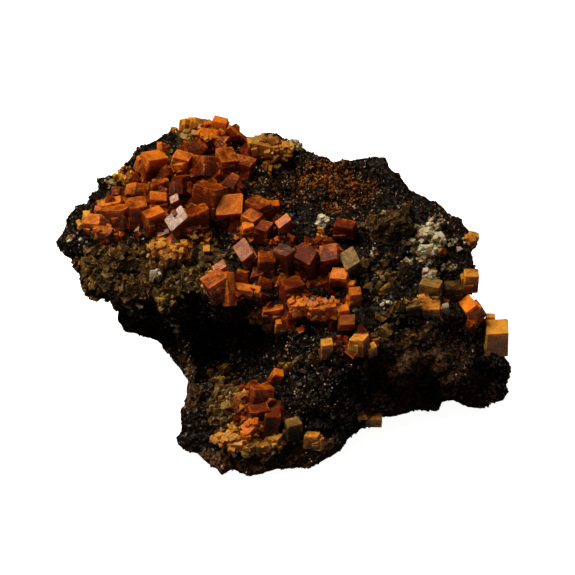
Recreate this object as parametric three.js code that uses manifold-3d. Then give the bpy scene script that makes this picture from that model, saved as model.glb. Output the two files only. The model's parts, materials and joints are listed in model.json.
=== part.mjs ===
// Anglesite specimen: blocky orange-brown anglesite crystals on a dark galena and iron oxide
// matrix. Millimetres, +Z up, standing on the flat lands of its underside, with the origin
// under the middle of its bounding box.
import * as THREE from "three";
import { mergeVertices } from "three/addons/utils/BufferGeometryUtils.js";
import Module from "manifold-3d";

const wasm = await Module();
wasm.setup();

// ---------------------------------------------------------------------------------------
// Driving dimensions
//
// The piece is set out on its display plane, which leans back from the horizontal. On it
// u runs to the right, v up the plane and w out of it, towards the front.
// ---------------------------------------------------------------------------------------
const DISPLAY_LEAN = THREE.MathUtils.degToRad(35);
const CENTRE_HEIGHT = 21.4; // of u = v = w = 0 above the ground
const CENTRE_SHIFT = [0.4, -0.9]; // brings the bounding box over the origin
const GRID = 25; // cells across the front and across the back of the matrix
const EDGE_FULLNESS = 4; // 2 is a round pillow edge, more is squarer
const BROAD_LUMP = { size: 9, height: 1.6, shift: 0 };
const SMALL_LUMP = { size: 4.2, height: 1.2, shift: 7 };
const BACK_LUMP_SHIFT = 40; // so that the back has lumps of its own
const GROUND_CUT = 2.5; // how far the back face runs on below the ground before it is cut flat
const LAND_PIT = { size: 6, depth: 2, rise: -0.5, reach: 0.9 }; // hollows between its flat lands
const SOCKET_GAP = 0.3; // between a crystal and the rock it sits in
const SIDE_ANGLE = THREE.MathUtils.degToRad(82); // between the side faces of a crystal
const BEVEL_SHARE = 0.08; // of a crystal's smallest side
const SMALLEST_BODY = 1; // cubic millimetres
const SHARP_EDGE_CUT = 0.08; // of a crystal's smaller side

// Outline of the matrix, clockwise from the left tip: [u, v, w].
const RIM = [
  [-38.9, 7.9, -4], [-37.8, 9.8, -5], [-37.2, 11.4, -6], [-34.9, 13.8, -7], [-33.4, 13.9, -8],
  [-32.9, 15.2, -8], [-31.8, 16.4, -8], [-31.8, 18.1, -9], [-28.1, 19.6, -9], [-25.6, 22.9, -10],
  [-23.4, 24.2, -11], [-19.6, 26.1, -12], [-16.2, 26.6, -12], [-12.1, 26.4, -12],
  [-8.6, 25.2, -12], [-2.9, 25.8, -13], [1.8, 24.8, -14], [3.1, 22.8, -14], [6.4, 21.9, -14],
  [7.8, 21.1, -13], [9.6, 21.6, -14], [14.8, 22.1, -14], [16.4, 21.6, -14], [16.9, 20.2, -13],
  [18.8, 19.4, -13], [20.4, 16.4, -12], [24.9, 14.6, -12], [26.4, 12.9, -11], [29.2, 11.4, -10],
  [29.9, 10.1, -10], [31.8, 8.2, -9], [31.9, 6.9, -9], [30.9, 5.8, -8], [31.6, 2.4, -8],
  [31.8, 0.6, -7], [30.2, -0.9, -7], [30.1, -2.4, -6], [31.9, -5.1, -6], [34.1, -7.4, -6],
  [37.2, -13.4, -6], [37.2, -14.6, -7], [36.9, -16.2, -8], [37.4, -17.5, -9], [36.1, -18.8, -9],
  [32.4, -20.6, -7], [30.1, -20.4, -7], [28.1, -19.1, -7], [25.9, -19.1, -7], [24.9, -20.4, -6],
  [20.8, -20.6, -6], [20.1, -21.2, -5], [15.9, -21.6, -4], [11.8, -23.9, -1], [9.7, -26.2, 2],
  [6.0, -28.9, 6], [3.6, -30.2, 7], [1.6, -29.9, 7], [-6.1, -31.3, 8], [-7.6, -30.9, 8],
  [-9.4, -30.6, 8], [-10.9, -31.2, 8], [-15.1, -27.9, 6], [-17.1, -27.4, 5], [-18.4, -26.2, 4],
  [-18.6, -24.9, 3], [-17.8, -23.8, 2], [-17.9, -20.4, 0], [-16.9, -18.2, -2], [-16.6, -15.8, -4],
  [-17.9, -13.9, -7], [-20.8, -10.8, -10], [-21.4, -9.4, -11], [-25.4, -7.9, -13],
  [-27.2, -7.4, -13], [-28.2, -5.8, -13], [-28.2, -3.4, -12], [-28.9, -2.1, -8], [-31.1, -2.1, -3],
  [-34.6, -0.1, -3], [-35.8, 4.2, -3], [-37.8, 5.6, -3],
];

// Spots of the front face: [u, v, w, rise of w along u, rise of w along v].
const FRONT_SPOTS = [
  // left tip and the terrace that carries the large crystals
  [-36, 7.5, -3, 0.2, -0.3], [-33, 12, -4.5, 0.1, -0.5], [-29, 17, -7, 0.1, -0.6],
  [-30, 8, -1, 0, -0.5], [-24, 21, -8.5, 0, -0.7], [-22, 14, -3.5, 0, -0.6],
  [-22, 6, 0.5, 0, -0.5], [-28, 1, 2, 0.1, -0.4], [-24, -2, 3.5, 0, -0.2], [-14, 23, -8.5, 0, -0.7],
  [-13, 16, -4, 0, -0.6], [-12, 9, 0, 0, -0.5], [-14, 2, 4, 0, -0.5], [-19, -2.5, 4.5, 0, -0.2],
  [-5, 22, -10, 0, -0.8], [-4, 14, -4, 0, -0.7], [-3, 6, 1, 0, -0.6], [-3, 0, 5, 0, -0.4],
  [-10, -3, 5.5, 0, -0.2],
  // middle, down to the lower lobe
  [3, -2, 7, 0, -0.4], [2, 5, 3, 0, -0.6], [3, 13, -4, 0, -0.8], [4, 20, -10, 0, -0.7],
  [8, 10, -2, 0, -0.6], [9, 3, 3, 0, -0.6], [9, -4, 7, 0, -0.3], [3, -9, 8, 0.1, -0.1],
  [10, -12, 9.5, 0, 0], [4, -15, 9, 0, -0.1],
  // ridge and masses on the right
  [13, 20, -11, 0, -0.5], [12, 15, -7.5, 0, -0.6], [21, 16, -10, -0.1, -0.4],
  [17, 10.5, -4, 0, -0.4], [27, 11, -8, -0.1, -0.4], [29, 6, -6, -0.2, -0.3], [16, 4, -1, 0, -0.5],
  [24, 5, -2, 0, -0.4], [24, -1, 0, 0, -0.5], [29, 0, -4, 0, -0.3], [16, -3, 5, 0, -0.5],
  [23, -7, 6, 0, -0.2], [31, -8, 1, -0.3, 0], [35, -13, -2, -0.4, 0.1], [28, -14, 4, -0.3, 0.3],
  [18, -12, 8, -0.1, 0], [21, -18, 3, -0.2, 0.7], [31, -18, -4, -0.3, 0.6], [12, -19, 7, -0.1, 0.4],
  // lower lobe
  [6, -22, 9.5, -0.1, 0.1], [-5, -17, 8.5, 0.1, -0.2], [-5, -24, 10.5, 0, 0],
  [-11, -22, 8.5, 0.3, -0.1], [-7, -29, 10, 0, 0.2], [-15, -22, 6, 0.3, 0], [-15, -27, 7, 0.2, 0],
  [3, -28, 10, 0, 0.2], [-13, -18, 3, 0.3, -0.6],
  // hollow under the terrace, the rib on its left and the wall behind
  [-12, -9.5, -11, 0, 0.3], [-6, -9, -8, 0.3, 0], [-9, -13.5, -7, 0, -0.6],
  [-13, -13, -9, 0, -0.3], [-3, -12, 2, 0.8, -0.2], [-17, -9, -3, 0, -0.2], [-16.3, -14, -2, 0, -0.3],
  [-21, -8, -9, 0.3, 0.4], [-25, -6, -11, 0.2, 0.5],
];

// Spots of the back face, in the same terms.
const BACK_SPOTS = [
  [-36, 7, -9, 0, 0.2], [-30, 15, -14, 0, 0.2], [-24, 22, -16, 0, 0.2], [-14, 25, -17, 0, 0.3],
  [0, 23, -18, 0, 0.4], [15, 19, -18, 0, 0.3], [28, 11, -17, -0.1, 0.2], [31, 5, -16, -0.2, 0.2],
  [-30, 5, -14, -0.3, 0.2], [-19, 11, -21, -0.2, 0.3], [-7, 13, -23, 0, 0.4], [8, 12, -23, 0, 0.4],
  [20, 8, -22, 0.1, 0.3], [29, 1, -19, 0.3, 0], [34, -8, -15, 0.3, -0.2], [36, -14, -14, 0.2, 0],
  [-25, -2, -19, -0.4, 0], [-14, 2, -27, -0.1, 0.2], [0, 2, -29, 0, 0.2], [14, 1, -28, 0, 0.2],
  [25, -4, -24, 0.3, 0], [-20, -9, -21, -0.2, 0], [0, -8, -36, 0, 0],
];
const SPOT_SHARPNESS = 4; // how strictly a point follows its nearest spot

// Crystals, cluster by cluster: [u, v of the middle of its front view, lift of its centre over
// the rock, side a, side b, height, turn, lean to the front, roll to the right, bevelled].
const CLUSTERS = {
  crystal_cluster_upper_left: [
    [-22.6, 20.9, 1.2, 4.7, 3.2, 3.3, 41, -1, 16, 0],
    [-21.0, 23.3, 0.7, 1.9, 1.3, 1.9, 55, -39, -3, 0],
    [-17.6, 21.3, 0.8, 3.0, 2.2, 2.2, -15, 5, 5, 0],
    [-14.2, 20.3, 1.1, 3.1, 4.2, 3.6, 42, -41, 0, 0],
    [-10.2, 20.9, 1.1, 3.6, 3.2, 3.6, 30, 5, 5, 0],
    [-7.6, 20.2, 0.9, 3.8, 2.8, 3.2, -22, 8, 8, 0],
    [-17.9, 17.0, 0.9, 2.8, 2.6, 3.2, 62, -41, 1, 0],
    [-21.5, 17.0, 0.8, 3.5, 1.8, 1.6, 29, -7, -4, 0],
    [-25.1, 16.2, 1.0, 3.6, 2.6, 2.2, 48, -50, 3, 0],
    [-21.3, 14.5, 0.9, 2.4, 3.1, 2.4, 90, 10, -13, 0],
    [-25.0, 12.3, 0.7, 3.6, 3.8, 4.8, 18, 0, 0, 0],
    [-28.5, 12.0, 1.1, 3.8, 5.1, 3.0, 65, -17, -5, 1],
    [-29.5, 13.8, 0.5, 5.0, 2.6, 2.2, 8, 5, -5, 0],
    [-32.2, 10.6, 0.5, 3.2, 2.6, 2.4, -20, 5, -10, 0],
    [-29.8, 8.9, 0.6, 4.8, 2.4, 2.2, -4, 5, 0, 0],
    [-22.4, 11.2, 0.7, 3.2, 3.0, 3.8, 30, 5, 0, 0],
    [-18.1, 10.8, 1.5, 4.0, 2.9, 3.6, 36, 30, -14, 0],
    [-18.7, 12.2, 3.2, 0.9, 1.2, 1.4, 36, 30, -14, 0],
    [-18.7, 14.5, 0.9, 1.9, 1.5, 1.8, 20, 30, -14, 0],
    [-15.2, 11.0, 0.5, 3.8, 3.4, 4.6, 24, -5, 3, 0],
    [-13.0, 14.9, 1.3, 4.2, 5.1, 4.6, 57, -8, 5, 1],
    [-10.1, 13.4, 1.3, 4.3, 3.9, 4.0, 6, 41, 14, 1],
    [-4.9, 13.0, 1.1, 3.6, 3.2, 3.2, -40, 0, 0, 0],
    [-2.4, 13.6, 1.0, 2.0, 1.6, 1.6, 15, 10, 10, 0],
    [-5.9, 11.0, 1.3, 3.0, 2.6, 3.0, -35, 5, 0, 0],
    [-6.6, 9.6, 1.2, 2.2, 2.0, 2.4, 15, 5, 0, 0],
    [-3.9, 9.2, 1.2, 2.6, 2.4, 3.0, -25, 5, 0, 0],
  ],
  crystal_cluster_summit: [
    [-14.2, 26.9, 0.8, 2.4, 2.2, 2.2, 10, 0, 8, 0],
    [-11.4, 27.1, 1.0, 2.5, 2.2, 2.8, -5, 0, 6, 0],
    [-8.8, 25.5, 0.8, 4.2, 1.4, 1.9, 0, 5, 36, 0],
    [-12.9, 25.0, 0.9, 4.8, 3.0, 3.0, 15, 5, 5, 0],
  ],
  amber_crystals_on_the_summit: [
    [-17.0, 27.1, 0.7, 2.2, 1.8, 2.0, 43, -45, 4, 0],
    [-15.4, 27.4, 0.8, 2.5, 2.2, 2.2, 47, -50, 0, 0],
  ],
  olive_mass_by_the_summit: [[-16.4, 25.2, 0.5, 3.2, 2.4, 2.6, -20, 0, -12, 0]],
  tan_mass_by_the_summit: [
    [-3.9, 23.6, 0.8, 5.2, 3.6, 3.0, -8, 5, 5, 0],
    [-5.8, 24.0, 1.0, 1.9, 1.7, 1.9, 20, 0, 0, 0],
    [-0.8, 23.0, 0.4, 3.2, 2.4, 2.4, 15, 5, 10, 0],
  ],
  crystal_cluster_glare: [
    [-0.3, 10.2, 1.1, 2.9, 2.0, 3.8, 36, 25, -14, 0],
    [-6.8, 5.3, 1.3, 2.8, 3.7, 4.2, 34, 25, -17, 0],
    [-0.4, 4.9, 1.0, 3.4, 2.7, 4.2, -38, 14, -5, 0],
    [-3.6, 3.8, 0.4, 3.2, 3.2, 3.6, 10, 5, 5, 0],
  ],
  crystal_cluster_middle: [
    [3.2, 4.8, 1.2, 3.4, 3.6, 3.9, 62, 30, -7, 0],
    [6.8, 4.8, 1.0, 3.3, 3.2, 3.8, 10, 20, 0, 0],
    [8.6, 1.6, 1.1, 3.2, 2.2, 2.2, -8, 10, 0, 0],
  ],
  olive_block: [[10.5, 4.3, 1.2, 3.2, 4.0, 2.6, 29, 26, -10, 0]],
  orange_block_upper_middle: [[9.6, 9.8, 1.0, 3.6, 2.3, 2.6, -12, 10, 0, 0]],
  pale_grain_upper_middle: [[5.8, 11.1, 0.9, 1.8, 1.5, 1.7, 25, 10, -5, 0]],
  brown_pentagon: [[0.8, -0.5, 1.0, 3.9, 3.0, 3.4, 30, 0, 0, 0]],
  winged_mass: [
    [-11.6, 0.2, 1.0, 4.2, 3.2, 4.0, 35, 5, -20, 0],
    [-7.1, -0.6, 0.9, 5.4, 1.8, 1.7, 0, 0, 12, 0],
    [-9.8, -0.3, 1.5, 1.9, 1.7, 5.6, 45, -35, -5, 0],
    [-11.2, 3.1, 0.9, 2.4, 1.8, 1.8, 35, 25, -10, 0],
  ],
  crystal_cluster_lower_middle: [
    [5.9, -3.6, 1.1, 5.4, 3.2, 3.0, 8, 8, 0, 0],
    [2.0, -3.1, 0.9, 3.8, 2.6, 2.4, -12, 5, -10, 0],
    [9.2, -4.1, 0.9, 2.0, 1.8, 2.0, 20, 5, 0, 0],
    [9.8, -5.8, 1.2, 2.7, 1.9, 2.4, 6, 31, 7, 0],
    [-0.9, -6.0, 0.9, 2.5, 2.1, 2.1, 15, 8, 0, 0],
    [-3.0, -6.2, 0.8, 2.4, 1.9, 2.2, -25, 0, 0, 0],
    [-2.4, -4.1, 0.5, 3.6, 2.4, 2.2, 10, 0, 0, 0],
  ],
  orange_blocks_right_of_middle: [
    [11.1, -1.7, 1.0, 2.3, 2.0, 3.2, 15, 8, 5, 0],
    [10.4, 0.3, 0.7, 1.5, 1.3, 1.6, -15, 5, 0, 0],
  ],
  amber_shard: [[6.5, -10.2, 0.8, 2.2, 1.8, 3.0, 15, 0, 0, 0]],
  amber_pair: [
    [11.8, -9.5, 0.8, 2.7, 2.2, 3.2, -20, 0, 0, 0],
    [13.9, -10.4, 0.9, 1.7, 1.5, 1.9, 35, 5, 0, 0],
  ],
  yellow_cluster_left: [
    [-21.7, 6.3, 0.8, 2.6, 2.2, 2.6, 20, 5, 0, 0],
    [-20.1, 4.9, 1.0, 2.8, 2.4, 2.8, 45, 10, 0, 0],
    [-18.5, 5.9, 0.8, 2.7, 2.2, 2.6, -10, 5, 5, 0],
  ],
  olive_lump_left: [[-20.2, -2.6, 0.7, 2.8, 2.2, 2.8, 25, -10, 0, 0]],
  pale_grain_left: [[-21.8, 1.9, 0.6, 1.9, 1.4, 1.7, -25, 10, -10, 0]],
  olive_dome_right: [
    [17.4, 10.2, 0.9, 6.6, 4.0, 4.2, 10, 0, -6, 0],
    [14.4, 9.6, 0.5, 3.4, 2.8, 3.2, -25, 0, -14, 0],
  ],
  pale_cluster_right: [
    [23.0, 8.7, 0.6, 2.6, 2.0, 2.2, 15, 5, 0, 0],
    [25.0, 7.6, 0.7, 2.2, 2.0, 2.2, -20, 5, 5, 0],
    [23.4, 5.9, 0.6, 2.8, 1.8, 1.8, 5, 5, -5, 0],
  ],
  beige_grain_right: [[23.9, 1.8, 0.7, 2.2, 1.8, 2.0, 10, 10, 0, 0]],
  olive_blocks_right: [
    [23.9, -0.2, 0.8, 3.4, 2.6, 2.8, -10, 5, 0, 0],
    [20.8, -3.6, 0.4, 2.6, 2.4, 2.4, 12, 5, 0, 0],
  ],
  olive_brown_block_right: [[27.5, -0.7, 0.7, 3.2, 2.6, 3.0, 20, 5, 8, 0]],
  amber_tip_right: [[31.0, 8.2, 0.5, 2.3, 1.8, 2.2, 40, 0, 20, 0]],
  amber_block_right: [[30.6, 1.1, 1.2, 2.6, 2.4, 3.4, 12, 0, 5, 0]],
  orange_block_right: [[30.6, -3.6, 1.5, 2.8, 4.6, 2.8, 29, 5, -25, 0]],
  large_amber_crystal_right: [
    [34.9, -8.4, 2.2, 4.2, 4.0, 5.0, 8, 5, 3, 1],
    [33.9, -5.2, 1.4, 1.6, 1.3, 1.4, 10, 0, 10, 0],
  ],
  yellow_brown_block: [[23.8, -3.9, 0.6, 3.4, 3.0, 2.7, 5, 5, 3, 0]],
  white_grain_right: [[26.3, -3.7, 0.7, 1.3, 1.2, 2.0, 15, 5, 0, 0]],
  pocket_crust: [
    [-4.5, -18.0, 0.9, 3.8, 2.9, 3.4, 25, -15, 8, 0],
    [-2.2, -15.3, 0.7, 1.9, 1.8, 3.6, 10, 0, 28, 0],
    [-6.0, -23.3, 1.3, 3.2, 2.9, 3.2, 40, 35, -20, 0],
    [-5.0, -21.2, 0.4, 3.4, 3.0, 4.0, 20, 5, 5, 0],
    [-2.8, -22.6, 0.6, 2.9, 3.0, 4.6, 12, -5, 10, 0],
  ],
  pocket_lip_crust: [
    [-7.9, -19.5, 0.6, 2.6, 2.4, 5.0, -15, -15, 14, 0],
    [-9.9, -25.4, 0.8, 2.8, 2.2, 2.2, 15, 5, 0, 0],
    [-8.0, -26.0, 0.8, 2.8, 2.2, 2.2, -10, 15, 0, 0],
    [-6.0, -26.1, 0.9, 3.4, 2.4, 2.2, 35, 20, 0, 0],
    [-3.8, -26.1, 0.8, 3.4, 2.4, 2.2, 15, 15, 0, 0],
    [-2.0, -25.2, 0.7, 2.4, 2.2, 2.4, -25, 5, 0, 0],
    [-11.4, -24.9, 0.6, 1.9, 1.6, 2.0, 40, 0, 0, 0],
  ],
  yellow_pebble_lobe: [
    [4.1, -25.2, 0.9, 2.6, 2.2, 2.4, -8, 0, 0, 0],
    [5.4, -25.9, 1.2, 0.9, 1.6, 2.0, -15, -20, 0, 0],
  ],
  olive_pebble_lobe: [[0.9, -23.3, 0.6, 3.0, 2.6, 2.8, 25, 0, 0, 0]],
  yellow_pebble_under_edge: [[14.4, -22.1, 0.5, 2.8, 1.8, 1.7, 5, 0, 5, 0]],
};

// ---------------------------------------------------------------------------------------
// Surfaces
// ---------------------------------------------------------------------------------------

// A point of the display plane in the part's own frame.
function place(u, v, w) {
  const back = v * Math.sin(DISPLAY_LEAN) - w * Math.cos(DISPLAY_LEAN);
  const up = v * Math.cos(DISPLAY_LEAN) + w * Math.sin(DISPLAY_LEAN);
  return new THREE.Vector3(u + CENTRE_SHIFT[0], back + CENTRE_SHIFT[1], up + CENTRE_HEIGHT);
}

// A repeatable value between -1 and 1 for each corner of an integer lattice.
function latticeValue(i, j) {
  const wave = Math.sin(i * 127.1 + j * 311.7) * 43758.5453;
  return 2 * (wave - Math.floor(wave)) - 1;
}

// Smooth noise: lattice values blended with an S-curve across each cell.
function noise(x, y) {
  const i = Math.floor(x);
  const j = Math.floor(y);
  const fx = x - i;
  const fy = y - j;
  const sx = fx * fx * (3 - 2 * fx);
  const sy = fy * fy * (3 - 2 * fy);
  const low = THREE.MathUtils.lerp(latticeValue(i, j), latticeValue(i + 1, j), sx);
  const high = THREE.MathUtils.lerp(latticeValue(i, j + 1), latticeValue(i + 1, j + 1), sx);
  return THREE.MathUtils.lerp(low, high, sy);
}

// Height of a face at (u, v): each spot's own tilted plane, weighted by nearness.
function spotHeight(spots, u, v) {
  let total = 0;
  let sum = 0;
  for (const [su, sv, w, alongU, alongV] of spots) {
    const du = u - su;
    const dv = v - sv;
    const weight = 1 / (du * du + dv * dv + 0.3) ** (SPOT_SHARPNESS / 2);
    total += weight;
    sum += weight * (w + alongU * du + alongV * dv);
  }
  return sum / total;
}

function lumps(u, v) {
  const heights = [BROAD_LUMP, SMALL_LUMP].map(
    ({ size, height, shift }) => height * noise(u / size + shift, v / size),
  );
  return heights[0] + heights[1];
}

// Front height of the rock well inside its rim.
function frontHeight(u, v) {
  return spotHeight(FRONT_SPOTS, u, v) + lumps(u, v);
}

// The back face stops at the plane of the ground, a little below which it is cut off flat.
function backHeight(u, v) {
  const ground = -(CENTRE_HEIGHT + v * Math.cos(DISPLAY_LEAN)) / Math.sin(DISPLAY_LEAN);
  return Math.max(spotHeight(BACK_SPOTS, u, v) + lumps(u + BACK_LUMP_SHIFT, v), ground - GROUND_CUT);
}

// Running length of the rim at each of its points, closed back to the first.
const rimLengths = [0];
RIM.forEach((from, index) => {
  const to = RIM[(index + 1) % RIM.length];
  rimLengths.push(rimLengths[index] + Math.hypot(to[0] - from[0], to[1] - from[1]));
});

function rimPoint(share) {
  const along = share * rimLengths[RIM.length];
  let index = 0;
  while (index < RIM.length - 1 && rimLengths[index + 1] <= along) index += 1;
  const part = (along - rimLengths[index]) / (rimLengths[index + 1] - rimLengths[index]);
  const from = RIM[index];
  const to = RIM[(index + 1) % RIM.length];
  return from.map((value, axis) => value + part * (to[axis] - value));
}

// The faces bulge from the rim's own depth to the front or back height, as a squarish pillow
// does. The reach is the share of the way out from the middle to the rim.
function bulgedDepth(u, v, reach, rimDepth, isFront) {
  const bulge = (1 - Math.min(1, reach) ** EDGE_FULLNESS) ** (1 / EDGE_FULLNESS);
  const height = isFront ? frontHeight(u, v) : backHeight(u, v);
  return rimDepth + (height - rimDepth) * bulge;
}

// Depth of the front face at (u, v), found on the spoke that runs through that point.
function frontDepth(u, v) {
  for (let index = 0; index < RIM.length; index += 1) {
    const [fromU, fromV, fromW] = RIM[index];
    const [toU, toV, toW] = RIM[(index + 1) % RIM.length];
    const turn = fromU * toV - fromV * toU;
    const nearFrom = (u * toV - v * toU) / turn;
    const nearTo = (fromU * v - fromV * u) / turn;
    if (nearFrom >= 0 && nearTo >= 0) {
      const reach = nearFrom + nearTo;
      const rimDepth = (fromW * nearFrom + toW * nearTo) / Math.max(reach, 1e-6);
      return bulgedDepth(u, v, reach, rimDepth, true);
    }
  }
  return frontHeight(u, v);
}

// A square of side 2 mapped on the unit disc: rings stay rings and the corners are rounded off.
function discPoint(a, b) {
  if (a === 0 && b === 0) return { radius: 0, angle: 0 };
  if (Math.abs(a) >= Math.abs(b)) {
    return { radius: Math.abs(a), angle: (Math.PI / 4) * (b / a) + (a < 0 ? Math.PI : 0) };
  }
  return { radius: Math.abs(b), angle: Math.PI / 2 - (Math.PI / 4) * (a / b) + (b < 0 ? Math.PI : 0) };
}

// A point of the rock, on a spoke from the middle to the rim. The underside keeps flat lands
// on the ground, with shallow pits between them.
function rockPoint(a, b, isFront) {
  const { radius, angle } = discPoint(a, b);
  const share = (((Math.PI - angle) / (2 * Math.PI)) % 1 + 1) % 1;
  const [rimU, rimV, rimW] = rimPoint(share);
  const u = rimU * radius;
  const v = rimV * radius;
  const point = place(u, v, bulgedDepth(u, v, radius, rimW, isFront));
  const waves = noise(point.x / LAND_PIT.size, point.y / LAND_PIT.size);
  const pit = LAND_PIT.depth * waves + LAND_PIT.rise;
  point.z = Math.max(point.z, 0, isFront || radius > LAND_PIT.reach ? 0 : pit);
  return point;
}

function rockGeometry() {
  const positions = [];
  const indices = [];
  for (const isFront of [true, false]) {
    const first = positions.length / 3;
    for (let row = 0; row <= GRID; row += 1) {
      for (let column = 0; column <= GRID; column += 1) {
        const a = (2 * column) / GRID - 1;
        const b = (2 * row) / GRID - 1;
        positions.push(...rockPoint(a, b, isFront));
      }
    }
    for (let row = 0; row < GRID; row += 1) {
      for (let column = 0; column < GRID; column += 1) {
        const corner = first + row * (GRID + 1) + column;
        const quad = [corner, corner + 1, corner + GRID + 2, corner + GRID + 1];
        if (!isFront) quad.reverse();
        indices.push(quad[0], quad[1], quad[2], quad[0], quad[2], quad[3]);
      }
    }
  }
  const geometry = new THREE.BufferGeometry();
  geometry.setAttribute("position", new THREE.Float32BufferAttribute(positions, 3));
  geometry.setIndex(indices);
  return geometry;
}

// ---------------------------------------------------------------------------------------
// Crystals
// ---------------------------------------------------------------------------------------

// A rhombic prism with its two sharp edges taken off, centred on the origin.
function crystalGeometry(sideA, sideB, height, bevelled) {
  const a = sideA / 2;
  const b = sideB / 2;
  const skew = b / Math.tan(SIDE_ANGLE);
  const cut = SHARP_EDGE_CUT * Math.min(sideA, sideB);
  const outline = new THREE.Shape([
    new THREE.Vector2(-a - skew + cut, -b),
    new THREE.Vector2(a - skew, -b),
    new THREE.Vector2(a + skew, b - cut),
    new THREE.Vector2(a + skew - cut, b),
    new THREE.Vector2(-a + skew, b),
    new THREE.Vector2(-a - skew, -b + cut),
  ]);
  const bevel = bevelled ? BEVEL_SHARE * Math.min(sideA, sideB, height) : 0;
  const geometry = new THREE.ExtrudeGeometry(outline, {
    depth: height - 2 * bevel,
    bevelEnabled: bevelled,
    bevelThickness: bevel,
    bevelSize: bevel,
    bevelOffset: -bevel,
    bevelSegments: 1,
  });
  return geometry.translate(0, 0, bevel - height / 2);
}

// The plain prism around a crystal, with the socket's gap on every side.
function socketGeometry(sideA, sideB, height) {
  const a = sideA / 2 + SOCKET_GAP;
  const b = sideB / 2 + SOCKET_GAP;
  const skew = b / Math.tan(SIDE_ANGLE);
  const outline = new THREE.Shape([
    new THREE.Vector2(-a - skew, -b),
    new THREE.Vector2(a - skew, -b),
    new THREE.Vector2(a + skew, b),
    new THREE.Vector2(-a + skew, b),
  ]);
  const depth = height + 2 * SOCKET_GAP;
  const geometry = new THREE.ExtrudeGeometry(outline, { depth, bevelEnabled: false });
  return geometry.translate(0, 0, -depth / 2);
}

// A crystal stands on the rock, turned about its own height, then rolled, then leaned forward.
function crystalSolid([u, v, lift, sideA, sideB, height, turn, lean, roll, bevelled], isSocket) {
  const geometry = isSocket
    ? socketGeometry(sideA, sideB, height)
    : crystalGeometry(sideA, sideB, height, bevelled === 1);
  const angles = [lean, roll, turn].map(THREE.MathUtils.degToRad);
  geometry.applyMatrix4(new THREE.Matrix4().makeRotationFromEuler(new THREE.Euler(...angles, "XYZ")));
  geometry.translate(...place(u, v, frontDepth(u, v) + lift));
  return toSolid(geometry);
}

// ---------------------------------------------------------------------------------------
// Joining and cutting
// ---------------------------------------------------------------------------------------
function toSolid(geometry) {
  const bare = geometry.clone();
  bare.deleteAttribute("normal");
  bare.deleteAttribute("uv");
  const merged = mergeVertices(bare, 1e-4);
  return new wasm.Manifold(
    new wasm.Mesh({
      numProp: 3,
      vertProperties: new Float32Array(merged.attributes.position.array),
      triVerts: new Uint32Array(merged.index.array),
    }),
  );
}

// The separate bodies of a solid, largest first, without crumbs that a cut has left loose.
function bodiesOf(solid) {
  const bodies = solid.decompose().filter((body) => body.volume() > SMALLEST_BODY);
  return bodies.sort((one, other) => other.volume() - one.volume());
}

function toMesh(name, solid, material) {
  const { vertProperties, triVerts } = solid.getMesh();
  const geometry = new THREE.BufferGeometry();
  geometry.setAttribute("position", new THREE.Float32BufferAttribute(vertProperties, 3));
  geometry.setIndex(Array.from(triVerts));
  geometry.computeVertexNormals();
  const mesh = new THREE.Mesh(geometry, material);
  mesh.name = name;
  return mesh;
}

function joined(solids) {
  return solids.reduce((whole, solid) => whole.add(solid));
}

// ---------------------------------------------------------------------------------------
// The specimen
// ---------------------------------------------------------------------------------------
const rock = new THREE.MeshStandardMaterial({ color: 0x1d1612, roughness: 0.6, metalness: 0.1 });
const orangeCrystal = new THREE.MeshStandardMaterial({ color: 0x9c4a18, roughness: 0.2 });

const specimen = new THREE.Group();
let matrix = toSolid(rockGeometry());
let taken = null;
for (const [name, rows] of Object.entries(CLUSTERS)) {
  let cluster = joined(rows.map((row) => crystalSolid(row, false)));
  if (taken) cluster = cluster.subtract(taken);
  bodiesOf(cluster).forEach((body, index) => {
    specimen.add(toMesh(index ? `${name}_${index + 1}` : name, body, orangeCrystal));
  });
  const sockets = joined(rows.map((row) => crystalSolid(row, true)));
  taken = taken ? taken.add(sockets) : sockets;
}
matrix = bodiesOf(matrix.subtract(taken))[0];
specimen.add(toMesh("matrix", matrix, rock));

export default specimen;
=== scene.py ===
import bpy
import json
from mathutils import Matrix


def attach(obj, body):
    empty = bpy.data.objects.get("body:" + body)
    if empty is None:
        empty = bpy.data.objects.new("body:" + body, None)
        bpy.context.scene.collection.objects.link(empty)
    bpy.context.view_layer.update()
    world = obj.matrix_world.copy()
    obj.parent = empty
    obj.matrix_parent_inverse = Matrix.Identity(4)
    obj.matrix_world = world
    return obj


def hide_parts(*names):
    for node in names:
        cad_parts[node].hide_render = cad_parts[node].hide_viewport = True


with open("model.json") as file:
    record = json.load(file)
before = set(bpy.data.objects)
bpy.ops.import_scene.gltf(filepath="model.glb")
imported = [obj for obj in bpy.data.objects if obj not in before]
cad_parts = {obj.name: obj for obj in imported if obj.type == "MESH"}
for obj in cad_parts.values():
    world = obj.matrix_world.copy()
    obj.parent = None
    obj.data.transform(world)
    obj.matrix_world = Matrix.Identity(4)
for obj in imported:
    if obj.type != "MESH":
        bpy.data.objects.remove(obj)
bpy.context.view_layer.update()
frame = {"record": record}

# ===== Camera, floor and lamps =====
# The specimen lies on lit white paper and is looked at from 35 degrees above the horizontal,
# through a long lens. A large lamp hangs over it, a little to the left, and two weak ones fill.

import functools
import itertools
import json
import math

import bpy
import numpy as np
from mathutils import Vector

MM = 0.001
DISPLAY_LEAN = math.radians(35)  # how far the display plane leans back from upright
CENTRE_HEIGHT = 21.4  # mm, of the middle of the display plane over the table
CENTRE_SHIFT = (0.4, -0.9)  # mm, of that middle to the right and to the back
VIEW_DISTANCE = 1500.0  # mm
VIEW_WIDTH = 95.833  # mm of the display plane across the frame
SENSOR_WIDTH = 36.0  # mm
CAMERA_REACH = 10  # m
ROOM_LIGHT = 0.015  # strength of the even light from all around
FLOOR_REACH = 6.0  # m from the middle


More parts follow.
